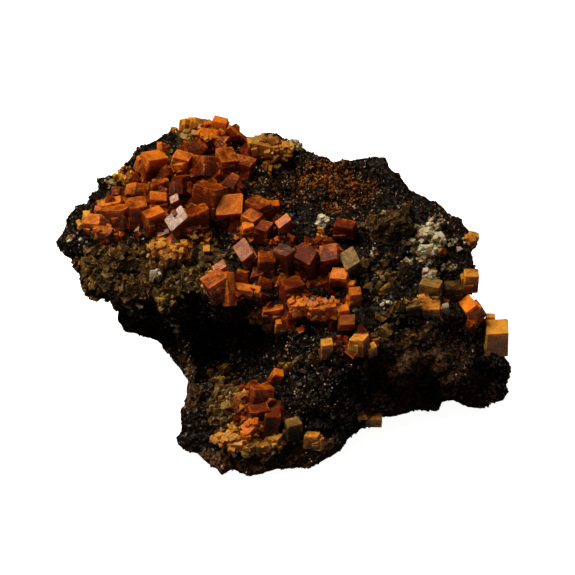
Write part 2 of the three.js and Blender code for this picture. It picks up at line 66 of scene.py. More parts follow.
def linear(hex_colour):
    """sRGB hex to linear RGBA: each channel by the sRGB transfer curve."""
    channels = [int(hex_colour[i:i + 2], 16) / 255 for i in (0, 2, 4)]
    return (*(c / 12.92 if c <= 0.04045 else ((c + 0.055) / 1.055) ** 2.4 for c in channels), 1.0)


def add_node(tree, kind, settings=None, **links):
    """Adds one shader node. Settings are its attributes or, by name or number, its inputs'
    values. Links are sockets, or nodes for their first output, that feed its inputs, with _ for
    a space or before a number."""
    made = tree.nodes.new("ShaderNode" + kind)
    for name, value in (settings or {}).items():
        if isinstance(name, str) and hasattr(made, name):
            setattr(made, name, value)
        else:
            made.inputs[name].default_value = value
    for name, source in links.items():
        key = int(name[1:]) if name[1:].isdigit() else name.replace("_", " ")
        tree.links.new(getattr(source, "outputs", [source])[0], made.inputs[key])
    return made


def new_material(name):
    """An empty material, and add_node for its own shader."""
    material = bpy.data.materials.new(name)
    material.use_nodes = True
    material.node_tree.nodes.clear()
    return material, functools.partial(add_node, material.node_tree)


def on_display(u, v, w):
    """Display-plane places in mm to the part's frame in mm: u runs to the right, v up the
    plane and w out of it, so back = v sin(lean) - w cos(lean) and up = v cos + w sin."""
    back = v * math.sin(DISPLAY_LEAN) - w * math.cos(DISPLAY_LEAN)
    up = v * math.cos(DISPLAY_LEAN) + w * math.sin(DISPLAY_LEAN)
    return np.stack([u + CENTRE_SHIFT[0], back + CENTRE_SHIFT[1], up + CENTRE_HEIGHT], axis=-1)


def look_at(thing, place, target):
    thing.location = Vector(place) * MM
    thing.rotation_euler = (Vector(target) - Vector(place)).to_track_quat("-Z", "Y").to_euler()


middle = on_display(0.0, 0.0, 0.0)
camera = bpy.data.objects.new("camera", bpy.data.cameras.new("camera"))
camera.data.sensor_width = SENSOR_WIDTH
camera.data.lens = SENSOR_WIDTH * VIEW_DISTANCE / VIEW_WIDTH
camera.data.clip_end = CAMERA_REACH
bpy.context.collection.objects.link(camera)
look_at(camera, on_display(0.0, 0.0, VIEW_DISTANCE), middle)
bpy.context.scene.camera = camera

LAMP_COLOUR = "ffe9cf"
LAMPS = [
    # name, place in mm, side in mm, watts
    ("key lamp", (-420, -30, 900), 650, 14.8),
    ("front fill", (-300, -1000, 600), 700, 0.4),
    ("right fill", (800, 300, 450), 800, 1.1),
]
for lamp_name, place, side, watts in LAMPS:
    lamp = bpy.data.objects.new(lamp_name, bpy.data.lights.new(lamp_name, "AREA"))
    lamp.data.shape = "SQUARE"
    lamp.data.size = side * MM
    lamp.data.energy = watts
    lamp.data.color = linear(LAMP_COLOUR)[:3]
    lamp.visible_camera = False
    bpy.context.collection.objects.link(lamp)
    look_at(lamp, place, middle)

world = bpy.data.worlds.new("studio")
world.use_nodes = True
sky = world.node_tree.nodes["Background"].inputs
sky["Color"].default_value = (1, 1, 1, 1)
sky["Strength"].default_value = ROOM_LIGHT
bpy.context.scene.world = world
bpy.context.scene.view_settings.view_transform = "Standard"

# Matt white paper, lit through from below as on a light table, so that shadows hardly show.
paper, add = new_material("white paper")
sheet = add("BsdfPrincipled", {
    "Base Color": linear("f4f4f2"), "Roughness": 0.9,
    "Emission Color": linear("ffffff"), "Emission Strength": 0.96})
add("OutputMaterial", Surface=sheet)

floor_mesh = bpy.data.meshes.new("floor")
floor_corners = [(x * FLOOR_REACH, y * FLOOR_REACH, 0) for x, y in ((-1, -1), (1, -1), (1, 1), (-1, 1))]
floor_mesh.from_pydata(floor_corners, [], [(0, 1, 2, 3)])
floor_mesh.materials.append(paper)
floor = bpy.data.objects.new("floor", floor_mesh)
bpy.context.collection.objects.link(floor)
floor.visible_diffuse = False  # the lit paper brightens the picture, not the rock
floor.visible_glossy = False

# ===== Matrix =====
# One block of galena and iron oxide rock, near-black and granular, as it broke from its vein.
# Its outline, front and back follow the solid of the same name. It is knobbly all over, down
# to grains under a millimetre.

# Outline, clockwise from the left tip: u, v, w in mm.
RIM = np.array([
    [-38.9, 7.9, -4], [-37.8, 9.8, -5], [-37.2, 11.4, -6], [-34.9, 13.8, -7], [-33.4, 13.9, -8],
    [-32.9, 15.2, -8], [-31.8, 16.4, -8], [-31.8, 18.1, -9], [-28.1, 19.6, -9], [-25.6, 22.9, -10],
    [-23.4, 24.2, -11], [-19.6, 26.1, -12], [-16.2, 26.6, -12], [-12.1, 26.4, -12],
    [-8.6, 25.2, -12], [-2.9, 25.8, -13], [1.8, 24.8, -14], [3.1, 22.8, -14], [6.4, 21.9, -14],
    [7.8, 21.1, -13], [9.6, 21.6, -14], [14.8, 22.1, -14], [16.4, 21.6, -14], [16.9, 20.2, -13],
    [18.8, 19.4, -13], [20.4, 16.4, -12], [24.9, 14.6, -12], [26.4, 12.9, -11], [29.2, 11.4, -10],
    [29.9, 10.1, -10], [31.8, 8.2, -9], [31.9, 6.9, -9], [30.9, 5.8, -8], [31.6, 2.4, -8],
    [31.8, 0.6, -7], [30.2, -0.9, -7], [30.1, -2.4, -6], [31.9, -5.1, -6], [34.1, -7.4, -6],
    [37.2, -13.4, -6], [37.2, -14.6, -7], [36.9, -16.2, -8], [37.4, -17.5, -9], [36.1, -18.8, -9],
    [32.4, -20.6, -7], [30.1, -20.4, -7], [28.1, -19.1, -7], [25.9, -19.1, -7], [24.9, -20.4, -6],
    [20.8, -20.6, -6], [20.1, -21.2, -5], [15.9, -21.6, -4], [11.8, -23.9, -1], [9.7, -26.2, 2],
    [6, -28.9, 6], [3.6, -30.2, 7], [1.6, -29.9, 7], [-6.1, -31.3, 8], [-7.6, -30.9, 8],
    [-9.4, -30.6, 8], [-10.9, -31.2, 8], [-15.1, -27.9, 6], [-17.1, -27.4, 5], [-18.4, -26.2, 4],
    [-18.6, -24.9, 3], [-17.8, -23.8, 2], [-17.9, -20.4, 0], [-16.9, -18.2, -2], [-16.6, -15.8, -4],
    [-17.9, -13.9, -7], [-20.8, -10.8, -10], [-21.4, -9.4, -11], [-25.4, -7.9, -13],
    [-27.2, -7.4, -13], [-28.2, -5.8, -13], [-28.2, -3.4, -12], [-28.9, -2.1, -8], [-31.1, -2.1, -3],
    [-34.6, -0.1, -3], [-35.8, 4.2, -3], [-37.8, 5.6, -3],
])

# Spots of the front face: u, v, w in mm, then the rise of w along u and along v.
FRONT_SPOTS = np.array([
    [-36, 7.5, -3, 0.2, -0.3], [-33, 12, -4.5, 0.1, -0.5], [-29, 17, -7, 0.1, -0.6],
    [-30, 8, -1, 0, -0.5], [-24, 21, -8.5, 0, -0.7], [-22, 14, -3.5, 0, -0.6],
    [-22, 6, 0.5, 0, -0.5], [-28, 1, 2, 0.1, -0.4], [-24, -2, 3.5, 0, -0.2], [-14, 23, -8.5, 0, -0.7],
    [-13, 16, -4, 0, -0.6], [-12, 9, 0, 0, -0.5], [-14, 2, 4, 0, -0.5], [-19, -2.5, 4.5, 0, -0.2],
    [-5, 22, -10, 0, -0.8], [-4, 14, -4, 0, -0.7], [-3, 6, 1, 0, -0.6], [-3, 0, 5, 0, -0.4],
    [-10, -3, 5.5, 0, -0.2],
    [3, -2, 7, 0, -0.4], [2, 5, 3, 0, -0.6], [3, 13, -4, 0, -0.8], [4, 20, -10, 0, -0.7],
    [8, 10, -2, 0, -0.6], [9, 3, 3, 0, -0.6], [9, -4, 7, 0, -0.3], [3, -9, 8, 0.1, -0.1],
    [10, -12, 9.5, 0, 0], [4, -15, 9, 0, -0.1],
    [13, 20, -11, 0, -0.5], [12, 15, -7.5, 0, -0.6], [21, 16, -10, -0.1, -0.4],
    [17, 10.5, -4, 0, -0.4], [27, 11, -8, -0.1, -0.4], [29, 6, -6, -0.2, -0.3], [16, 4, -1, 0, -0.5],
    [24, 5, -2, 0, -0.4], [24, -1, 0, 0, -0.5], [29, 0, -4, 0, -0.3], [16, -3, 5, 0, -0.5],
    [23, -7, 6, 0, -0.2], [31, -8, 1, -0.3, 0], [35, -13, -2, -0.4, 0.1], [28, -14, 4, -0.3, 0.3],
    [18, -12, 8, -0.1, 0], [21, -18, 3, -0.2, 0.7], [31, -18, -4, -0.3, 0.6], [12, -19, 7, -0.1, 0.4],
    [6, -22, 9.5, -0.1, 0.1], [-5, -17, 8.5, 0.1, -0.2], [-5, -24, 10.5, 0, 0],
    [-11, -22, 8.5, 0.3, -0.1], [-7, -29, 10, 0, 0.2], [-15, -22, 6, 0.3, 0], [-15, -27, 7, 0.2, 0],
    [3, -28, 10, 0, 0.2], [-13, -18, 3, 0.3, -0.6],
    [-12, -9.5, -11, 0, 0.3], [-6, -9, -8, 0.3, 0], [-9, -13.5, -7, 0, -0.6],
    [-13, -13, -9, 0, -0.3], [-3, -12, 2, 0.8, -0.2], [-17, -9, -3, 0, -0.2], [-16.3, -14, -2, 0, -0.3],
    [-21, -8, -9, 0.3, 0.4], [-25, -6, -11, 0.2, 0.5],
])

# Spots of the back face, in the same terms.
BACK_SPOTS = np.array([
    [-36, 7, -9, 0, 0.2], [-30, 15, -14, 0, 0.2], [-24, 22, -16, 0, 0.2], [-14, 25, -17, 0, 0.3],
    [0, 23, -18, 0, 0.4], [15, 19, -18, 0, 0.3], [28, 11, -17, -0.1, 0.2], [31, 5, -16, -0.2, 0.2],
    [-30, 5, -14, -0.3, 0.2], [-19, 11, -21, -0.2, 0.3], [-7, 13, -23, 0, 0.4], [8, 12, -23, 0, 0.4],
    [20, 8, -22, 0.1, 0.3], [29, 1, -19, 0.3, 0], [34, -8, -15, 0.3, -0.2], [36, -14, -14, 0.2, 0],
    [-25, -2, -19, -0.4, 0], [-14, 2, -27, -0.1, 0.2], [0, 2, -29, 0, 0.2], [14, 1, -28, 0, 0.2],
    [25, -4, -24, 0.3, 0], [-20, -9, -21, -0.2, 0], [0, -8, -36, 0, 0],
])
SPOT_SHARPNESS = 4  # power of the distance in a spot's weight
SPOT_SOFTNESS = 0.3  # mm2, keeps that weight finite at the spot itself
EDGE_FULLNESS = 4  # 2 is a round pillow edge, more is squarer
LUMPS = [(9, 1.6, 0), (4.2, 1.2, 7)]  # size in mm, height in mm and shift in sizes
BACK_LUMP_SHIFT = 40  # mm, so that the back's lumps are not the front's
GROUND_CUT = 2.5  # mm the back face runs on below the table before it is cut
LAND_PIT = (6, 2, -0.5, 0.9)  # size, depth and rise in mm, and reach, of underside pits
ROCK_CELLS = 280  # across the front face, which is twice as fine as the back
ROCK_KNOBS = [(3.8, 1.3), (1.8, 0.65), (0.8, 0.24)]  # size and height of the knobs, mm
KNOB_STEEPNESS = 1.6  # fall of a knob at one size from its top
KNOB_SINK = 0.3  # so that knobs leave the rock's mean size as it is
RIM_FROM = 0.93  # share of the way out from the middle, where the rim begins
RIM_RELIEF = 0.4  # of the knobs' height, left on the rim


def scatter(*numbers):
    """Repeatable values in 0..1: the fraction of a large multiple of the sine of a weighted sum."""
    weights = (127.1, 311.7, 74.7, 183.3)
    wave = np.sin(sum(n * weight for n, weight in zip(numbers, weights))) * 43758.5453
    return wave - np.floor(wave)


def noise(x, y):
    """Smooth noise in -1..1: lattice values blended with the S-curve 3f^2 - 2f^3."""
    i, j = np.floor(x), np.floor(y)
    fx, fy = x - i, y - j
    sx, sy = fx * fx * (3 - 2 * fx), fy * fy * (3 - 2 * fy)
    corner = {(a, b): 2 * scatter(i + a, j + b) - 1 for a in (0, 1) for b in (0, 1)}
    low = corner[0, 0] + sx * (corner[1, 0] - corner[0, 0])
    high = corner[0, 1] + sx * (corner[1, 1] - corner[0, 1])
    return low + sy * (high - low)


def spot_height(spots, u, v):
    """Height at (u, v): the mean of the spots' tilted planes, weighted by 1 / distance^4."""
    du = u[..., None] - spots[:, 0]
    dv = v[..., None] - spots[:, 1]
    weight = 1 / (du * du + dv * dv + SPOT_SOFTNESS) ** (SPOT_SHARPNESS / 2)
    planes = spots[:, 2] + spots[:, 3] * du + spots[:, 4] * dv
    return (weight * planes).sum(-1) / weight.sum(-1)


def layered_noise(u, v, layers):
    """The sum of one smooth noise for each layer, of its own size, height and shift."""
    return sum(height * noise(u / size + shift, v / size) for size, height, shift in layers)


def front_height(u, v):
    return spot_height(FRONT_SPOTS, u, v) + layered_noise(u, v, LUMPS)


def back_height(u, v):
    """The back's own height, or a little below the table's plane where that is nearer."""
    ground = -(CENTRE_HEIGHT + v * math.cos(DISPLAY_LEAN)) / math.sin(DISPLAY_LEAN)
    own = spot_height(BACK_SPOTS, u, v) + layered_noise(u + BACK_LUMP_SHIFT, v, LUMPS)
    return np.maximum(own, ground - GROUND_CUT)


def bulged_depth(u, v, reach, rim_depth, height):
    """Depth of a face: rim depth + (height - rim depth) (1 - reach^4)^(1/4), a squarish
    pillow, where reach runs from 0 at the middle to 1 on the rim."""
    bulge = (1 - np.minimum(1, reach) ** EDGE_FULLNESS) ** (1 / EDGE_FULLNESS)
    return rim_depth + (height(u, v) - rim_depth) * bulge


RIM_CLOSED = np.vstack([RIM, RIM[:1]])
RIM_LENGTHS = np.concatenate([[0], np.cumsum(np.hypot(*np.diff(RIM_CLOSED[:, :2], axis=0).T))])


def rim_point(share):
    """Points of the rim at shares of the way round it, on the straight lines between its own."""
    along = share * RIM_LENGTHS[-1]
    return np.stack([np.interp(along, RIM_LENGTHS, RIM_CLOSED[:, axis]) for axis in range(3)], axis=-1)


def spoke_points(share, reach, height):
    """Points of a face on the spokes from the middle to the rim, for any shares and reaches."""
    rim = rim_point(share)
    u, v = rim[..., 0] * reach, rim[..., 1] * reach
    return on_display(u, v, bulged_depth(u, v, reach, rim[..., 2], height))


def even_reaches(rings, height, spokes=720, steps=240):
    """Reach of each ring on each spoke, so that the rings lie evenly along the spoke's length
    in space: the running length is summed on fine steps and read backwards."""
    share = np.arange(spokes)[:, None] / spokes
    reach = np.sin(np.linspace(0, 1, steps) * math.pi / 2)[None, :]
    points = spoke_points(share + 0 * reach, reach + 0 * share, height)
    steps_run = np.linalg.norm(np.diff(points, axis=1), axis=2)
    lengths = np.hstack([np.zeros((spokes, 1)), np.cumsum(steps_run, axis=1)])
    lengths /= lengths[:, -1:]
    even = np.linspace(0, 1, rings + 1)
    return np.array([np.interp(even, row, reach[0]) for row in lengths])


def disc_grid(cells):
    """A square grid mapped on the unit disc: rings stay rings, the angle runs evenly round each.
    Gives the ring number and the share of the way round the rim, clockwise from the left."""
    side = np.linspace(-1, 1, cells + 1)
    a, b = np.meshgrid(side, side)
    wide = np.abs(a) >= np.abs(b)
    safe_a = np.where(np.abs(a) < 1e-12, 1, a)
    safe_b = np.where(np.abs(b) < 1e-12, 1, b)
    angle = np.where(wide, math.pi / 4 * b / safe_a + np.where(a < 0, math.pi, 0),
                     math.pi / 2 - math.pi / 4 * a / safe_b + np.where(b < 0, math.pi, 0))
    ring = np.rint(np.maximum(np.abs(a), np.abs(b)) * cells / 2).astype(int)
    return ring, ((math.pi - angle) / (2 * math.pi)) % 1


def face_grid(cells, height):
    """One face of the rock on a square grid: its points in mm, their display-plane places
    (u, v), and their reach."""
    ring, share = disc_grid(cells)
    table = even_reaches(cells // 2, height)
    spoke = share * len(table)
    low = np.floor(spoke).astype(int) % len(table)
    part = spoke - np.floor(spoke)
    reach = table[low, ring] * (1 - part) + table[(low + 1) % len(table), ring] * part
    rim = rim_point(share)
    points = spoke_points(share, reach, height)
    return points, rim[..., 0] * reach, rim[..., 1] * reach, reach


def knobs(points, size):
    """Rounded knobs: of the domes h - steepness d^2, every point takes the highest one there.
    They stand on random centres, one to each cell of a cubic lattice of the given size, and
    each has a height h of its own."""
    scaled = points / size
    base = np.floor(scaled)
    height = np.full(len(points), -2.0)  # lower than any knob
    for step in itertools.product((-1, 0, 1), repeat=3):
        x, y, z = (base + step).T
        centre = np.stack([scatter(x, y, z, seed) for seed in (1, 2, 3)], axis=-1)
        away = scaled - (base + step) - centre
        height = np.maximum(height, scatter(x, y, z, 7) - KNOB_STEEPNESS * (away * away).sum(1))
    return height - KNOB_SINK


def grid_triangles(cells, stride):
    """Triangles of a square grid of points. A stride of 2 draws inner points together in pairs,
    which leaves the rim at full fineness and the rest at half."""
    def kept(i):
        even = np.clip((i + 1) // stride * stride, stride, cells - stride)
        return np.where((i == 0) | (i == cells), i, even if stride > 1 else i)
    row, column = np.meshgrid(np.arange(cells), np.arange(cells), indexing="ij")
    def corner(dr, dc):
        r, c = row + dr, column + dc
        inner = (r > 0) & (r < cells) & (c > 0) & (c < cells)
        return np.where(inner, kept(r) * (cells + 1) + kept(c), r * (cells + 1) + c).ravel()
    p, q, r, s = corner(0, 0), corner(0, 1), corner(1, 1), corner(1, 0)
    triangles = np.concatenate([np.stack([p, q, r], 1), np.stack([p, r, s], 1)])
    return triangles[(triangles != np.roll(triangles, 1, axis=1)).all(1)]


def vertex_normals(points, triangles):
    """Unit normals: the sum of the area-weighted normals of the triangles at each point."""
    a, b, c = (points[triangles[:, k]] for k in range(3))
    across = np.cross(b - a, c - a)
    total = np.zeros_like(points)
    for axis in range(3):
        for k in range(3):
            total[:, axis] += np.bincount(triangles[:, k], across[:, axis], len(points))
    return total / np.maximum(np.linalg.norm(total, axis=1, keepdims=True), 1e-12)


def new_piece(name, points, faces, material, attributes):
    """A mesh object at the origin from points in mm and faces, with one number or one vector
    per point for each attribute."""
    mesh = bpy.data.meshes.new(name)
    mesh.from_pydata((points * MM).tolist(), [], faces)
    for label, values in attributes.items():
        kind, part = ("FLOAT", "value") if values.ndim == 1 else ("FLOAT_VECTOR", "vector")
        layer = mesh.attributes.new(label, kind, "POINT")
        layer.data.foreach_set(part, values.astype(np.float32).ravel())
    mesh.materials.append(material)
    piece = bpy.data.objects.new(name, mesh)
    bpy.context.collection.objects.link(piece)
    return piece


# Mineral zones of the front, by kind: ellipses as u, v, half width, half height in mm, and
# strength. Their edges are ruffled by two layers of noise: size, height and shift.
ZONE_RUFFLES = [(2.6, 0.35, 0), (1.1, 0.2, 9)]
ZONE_SPREAD = 1.35  # squared distance at which a zone has faded out
ZONES = {
    "sugar": [
        (5, 19, 7, 3, 1), (10, 16, 6, 4, 0.9), (18, 17, 7, 3, 0.25), (-1, 17, 5, 4, 0.5)],
    "rust": [
        (-6, -29, 12, 3, 1), (4, -28, 8, 4, 1), (18, -20, 9, 4, 0.9), (30, -17, 8, 5, 0.8),
        (-24, -6, 6, 4, 0.8), (6, 18, 6, 3, 0.4), (-16, -16, 3, 7, 0.8), (10, 17, 4, 2, 0.5),
        (22, -12, 12, 7, 0.9), (-20, -10, 5, 4, 0.6), (0, -18, 8, 5, 0.4)],
    "olive": [
        (-22, 2, 10, 6, 1), (-14, 6, 5, 3, 0.8), (-31, 3, 5, 5, 0.8), (-16.4, 25, 2.2, 2.4, 0.9),
        (-18.5, 22.5, 2.5, 1.5, 0.8), (-28, 15.5, 3, 1.4, 0.7), (-11, -19, 3, 6, 0.9),
        (17, 10, 5, 3.5, 0.5), (15, 2, 4, 5, 0.4), (6, -11, 5, 4, 0.25), (1, -14, 4, 5, 0.2),
        (19, -5, 5, 4, 0.3)],
    "amber": [
        (-21, 14, 8, 6.5, 1), (-28.5, 11, 4.5, 3, 1), (-17.5, 20, 6, 3.2, 1),
        (-12.5, 17.5, 5.5, 6, 1), (-6, 11.5, 5, 4, 1), (-12.5, 24.5, 4.5, 3, 1),
        (-3, 22.8, 4.5, 1.8, 0.9), (1.5, 4, 8, 5, 0.8), (4, -3.8, 7, 3.5, 0.8), (-5, -2, 3, 2, 0.6),
        (-5.4, -20.6, 4.2, 5.2, 1), (-10, 0, 4, 3, 0.9), (-19, 6, 4, 2.6, 0.6),
        (25.5, -1.5, 3.5, 2, 0.5), (31.5, -5, 2.2, 2.6, 0.7), (10, -9.4, 4.5, 1.8, 0.8)],
    "honey": [
        (-19.7, 6.4, 4, 2.5, 1), (-14.5, 8, 3, 2.5, 0.8), (-17.6, 27, 1.6, 1.8, 1),
        (-12.9, 24.8, 2.8, 2, 0.8), (-27.5, 18.6, 2, 1.6, 0.9), (-32.4, 10.8, 2.4, 2, 0.8),
        (-3.5, 22.3, 3.6, 2.6, 0.8), (-12.2, 1.2, 2.2, 3, 0.9), (-7.2, -24.4, 3.8, 3.2, 1),
        (-5.2, -4.4, 1.6, 1.8, 0.9), (5.2, -3.8, 3.8, 1.8, 0.8), (6.2, 9.2, 1.4, 1.6, 0.9),
        (23.2, -2.8, 3.6, 1.8, 0.9), (13.8, -10, 1.6, 1, 0.9), (13.2, -22, 1.4, 1, 0.9),
        (25.2, 6.7, 1.5, 1.3, 1), (24, 2.4, 1.4, 0.8, 0.8)],
    "pale": [
        (24.7, 8.4, 1.7, 1.3, 1), (22, 6.8, 2, 1.1, 0.9), (23.2, 4.8, 1.7, 0.9, 0.9),
        (23, 10, 1.6, 0.8, 0.8), (25.2, 11.4, 1.1, 1.5, 0.8), (27, 3.4, 0.9, 0.9, 0.8),
        (1, 24, 3.5, 1.6, 0.8), (-36, 8.4, 1.4, 1, 0.5), (16.5, 12.6, 3, 0.6, 0.6),
        (-29.3, 17.9, 1.6, 0.8, 0.5), (16.3, -2.2, 1.5, 0.8, 0.6), (14.6, 5.6, 1, 0.9, 0.6),
        (20.4, 4.6, 0.6, 0.6, 0.8), (-21.7, 1.8, 1.4, 1, 0.4), (28.4, 7.4, 1.6, 1.2, 0.5),
        (-12.5, 6.4, 3, 1, 0.35), (-11.4, -23.8, 0.4, 1.2, 1), (-10.3, -21.3, 0.4, 1.4, 1),
        (-9.4, -18.6, 0.6, 0.9, 1), (-7.6, -16.9, 1, 0.4, 1), (-0.8, -13.9, 0.7, 0.9, 0.8),
        (-6, -27.2, 5, 0.4, 0.9), (-24.5, 4.5, 2.6, 1.4, 0.45), (-31.5, 5, 1.6, 1.6, 0.4),
        (-17.5, 1, 2, 1.2, 0.4), (-25, -3.2, 3.4, 0.4, 0.5), (-19.2, -6.4, 1.8, 1.8, 0.35),
        (-16.9, -12.5, 0.5, 3.6, 0.5)],
}


def zone_share(kind, u, v):
    """How far a place lies in the zones of a kind: the largest of strength (spread - d^2 +
    ruffle) over its ellipses, where d is 1 on the ellipse and the bracket is cut to 0..1."""
    ruffle = layered_noise(u, v, ZONE_RUFFLES)
    share = np.zeros_like(u)
    for zone_u, zone_v, half_u, half_v, strength in ZONES[kind]:
        distance = ((u - zone_u) / half_u) ** 2 + ((v - zone_v) / half_v) ** 2
        share = np.maximum(share, strength * np.clip(ZONE_SPREAD - distance + ruffle, 0, 1))
    return share


front, back = (face_grid(ROCK_CELLS, height) for height in (front_height, back_height))
underside, _, _, back_reach = back
pit_size, pit_depth, pit_rise, pit_reach = LAND_PIT
pits = pit_depth * noise(underside[..., 0] / pit_size, underside[..., 1] / pit_size) + pit_rise
underside[..., 2] = np.maximum(underside[..., 2], np.where(back_reach > pit_reach, 0, pits))

count = (ROCK_CELLS + 1) ** 2
rim_mask = np.ones((ROCK_CELLS + 1, ROCK_CELLS + 1), dtype=bool)
rim_mask[1:-1, 1:-1] = False
rock_points, rock_u, rock_v, rock_reach = (
    np.concatenate(pair).reshape(2 * count, -1) for pair in zip(front, back))
rock_points[:, 2] = np.maximum(rock_points[:, 2], 0)
rock_u, rock_v, rock_reach = rock_u[:, 0], rock_v[:, 0], rock_reach[:, 0]
is_front = np.arange(2 * count) < count
face_triangles = [grid_triangles(ROCK_CELLS, 1), grid_triangles(ROCK_CELLS, 2)[:, ::-1] + count]
shared = np.arange(2 * count)
shared[count:][rim_mask.ravel()] -= count
rock_triangles = shared[np.concatenate(face_triangles)]
used, packed = np.unique(rock_triangles, return_inverse=True)
rock_triangles = packed.reshape(-1, 3)
rock_points, rock_u, rock_v, rock_reach, is_front = (
    values[used] for values in (rock_points, rock_u, rock_v, rock_reach, is_front))

rock_normals = vertex_normals(rock_points, rock_triangles)
relief = sum(height * knobs(rock_points, size) for size, height in ROCK_KNOBS)
relief *= np.where(rock_reach > RIM_FROM, RIM_RELIEF, 1)
rock_points += rock_normals * relief[:, None]
rock_points[:, 2] = np.maximum(rock_points[:, 2], 0)

# Massive galena, tarnished and cemented by earthy iron oxides, its surface as it broke: near-
# black and dull, brown where the oxides lie, with grains that flash where a flat face turns to
# the light. Scales are to the metre: grains of 0.7 mm (1500), stains of 4 mm (260) and cleaved
# faces of 0.4 mm (2600), coarser than the finest real ones so that they show.
rock_material, add = new_material("galena and iron oxide rock")
place = add("TexCoord").outputs["Object"]
fine = add("TexNoise", {"Scale": 1500.0, "Detail": 5.0, "Roughness": 0.7}, Vector=place)
coarse = add("TexNoise", {"Scale": 260.0, "Detail": 4.0}, Vector=place)
dark = add("ValToRGB", Fac=coarse)
for end, hex_colour, position in zip(dark.color_ramp.elements, ("030201", "1a0f07"), (0.38, 0.72)):
    end.color = linear(hex_colour)
    end.position = position
colour = dark
# Minerals stain it zone by zone, each over the ones before it.
STAINS = {"rust": "583c22", "sugar": "120904", "olive": "16120a", "amber": "4c1c05", "pale": "7a6c50"}
for kind, hex_colour in STAINS.items():
    zone = add("Attribute", {"attribute_name": kind})
    spread = add("Math", {"operation": "MULTIPLY_ADD", 2: -0.12}, _0=zone.outputs["Fac"], _1=fine)
    share = add("MapRange", {"From Min": 0.16, "From Max": 0.42}, Value=spread)
    mixed = add("Mix", {"data_type": "RGBA", 7: linear(hex_colour)}, Factor=share, _6=colour)
    colour = mixed.outputs[2]
flecks = add("TexVoronoi", {"Scale": 2600.0}, Vector=place)
turned = add("VectorMath", {
    "operation": "MULTIPLY_ADD", 1: (1.8, 1.8, 1.8), 2: (-0.9, -0.9, -0.9)}, _0=flecks.outputs["Color"])
rough = add("Bump", {"Strength": 0.7, "Distance": 0.0003}, Height=fine)
tilted = add("VectorMath", {"operation": "ADD"}, _0=rough, _1=turned)
facing = add("VectorMath", {"operation": "NORMALIZE"}, _0=tilted)
gloss = add("MapRange", {"To Min": 0.2, "To Max": 0.6}, Value=coarse)
chosen = add("SeparateColor", Color=flecks.outputs["Color"])
glint = add("MapRange", {"From Min": 0.7, "From Max": 0.72, "To Min": 0.08, "To Max": 1.0}, Value=chosen)
stone = add("BsdfPrincipled", {"IOR": 1.6}, Base_Color=colour, Roughness=gloss, Normal=facing,
            Specular_IOR_Level=glint)
add("OutputMaterial", Surface=stone)

zones = {kind: zone_share(kind, rock_u, rock_v) * is_front for kind in ZONES}
rock = new_piece("matrix_rock", rock_points, rock_triangles.tolist(), rock_material, zones)
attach(rock, "root")
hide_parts("matrix")

# ===== Anglesite crystals =====
# Blocky rhombic prisms of lead sulphate, stained orange to red-brown. They grew together on
# the rock in clusters, and smaller blocks grew out of the corners of their feet, nearly in
# line with them.

SIDE_ANGLE = math.radians(82)  # between the side faces
SHARP_EDGE_CUT = 0.07  # of a crystal's smaller side, off its sharp edges
EDGE_BEVEL = 0.05  # mm
FOOT_TO_END = 0.34  # of tone, from a crystal's middle to either end
SIDE_TO_SIDE = 0.1  # the same to either side
PAINTED_EDGE_GLOW = 0.2  # of tone, from its faces to its edges: a painted glow of light through the thin crystal there
DULL = 0.03  # polish of a face dulled by time
LEAST_END = 0.82  # of the foot's size, of a crystal that narrows upwards
LEAST_GRAIN_END = 0.45  # the same of a grain
END_SLANT = 0.12  # spread of the rise of its end face along either side
GRAIN_UNEVENNESS = 0.3  # of its half size, how far its corners stray
PATTERN_REACH = 50  # mm, how far off its patterns are taken from
CORNER_BLOCKS = 4  # on each crystal that is large enough
CORNER_TILT = 7  # degrees, the spread of their tilts against it
CORNER_BLOCKS_FROM = 2.0  # mm, the smallest side of such a crystal
CORNER_SIZES = (0.25, 0.8)  # of its size
CORNER_STEPS = (0.03, 0.16)  # mm that they stand out of its faces
CORNER_TONES = (-0.1, 0.05)  # of tone, against its own
GRAINY_CORE = 0.8  # of a grainy crystal's size, the block its grains stand out of
GRAIN_SIZES = (0.5, 1.5)  # mm
GRAIN_SIDES = (0.6, 1.0)  # of a grain's size, each of its three sides
GRAIN_TILT = 22  # degrees, the spread
GRAIN_TONES = (-0.3, 0.2)  # of tone, against the crystal's own
GRAINS_EACH = 3  # for each of the table's grains

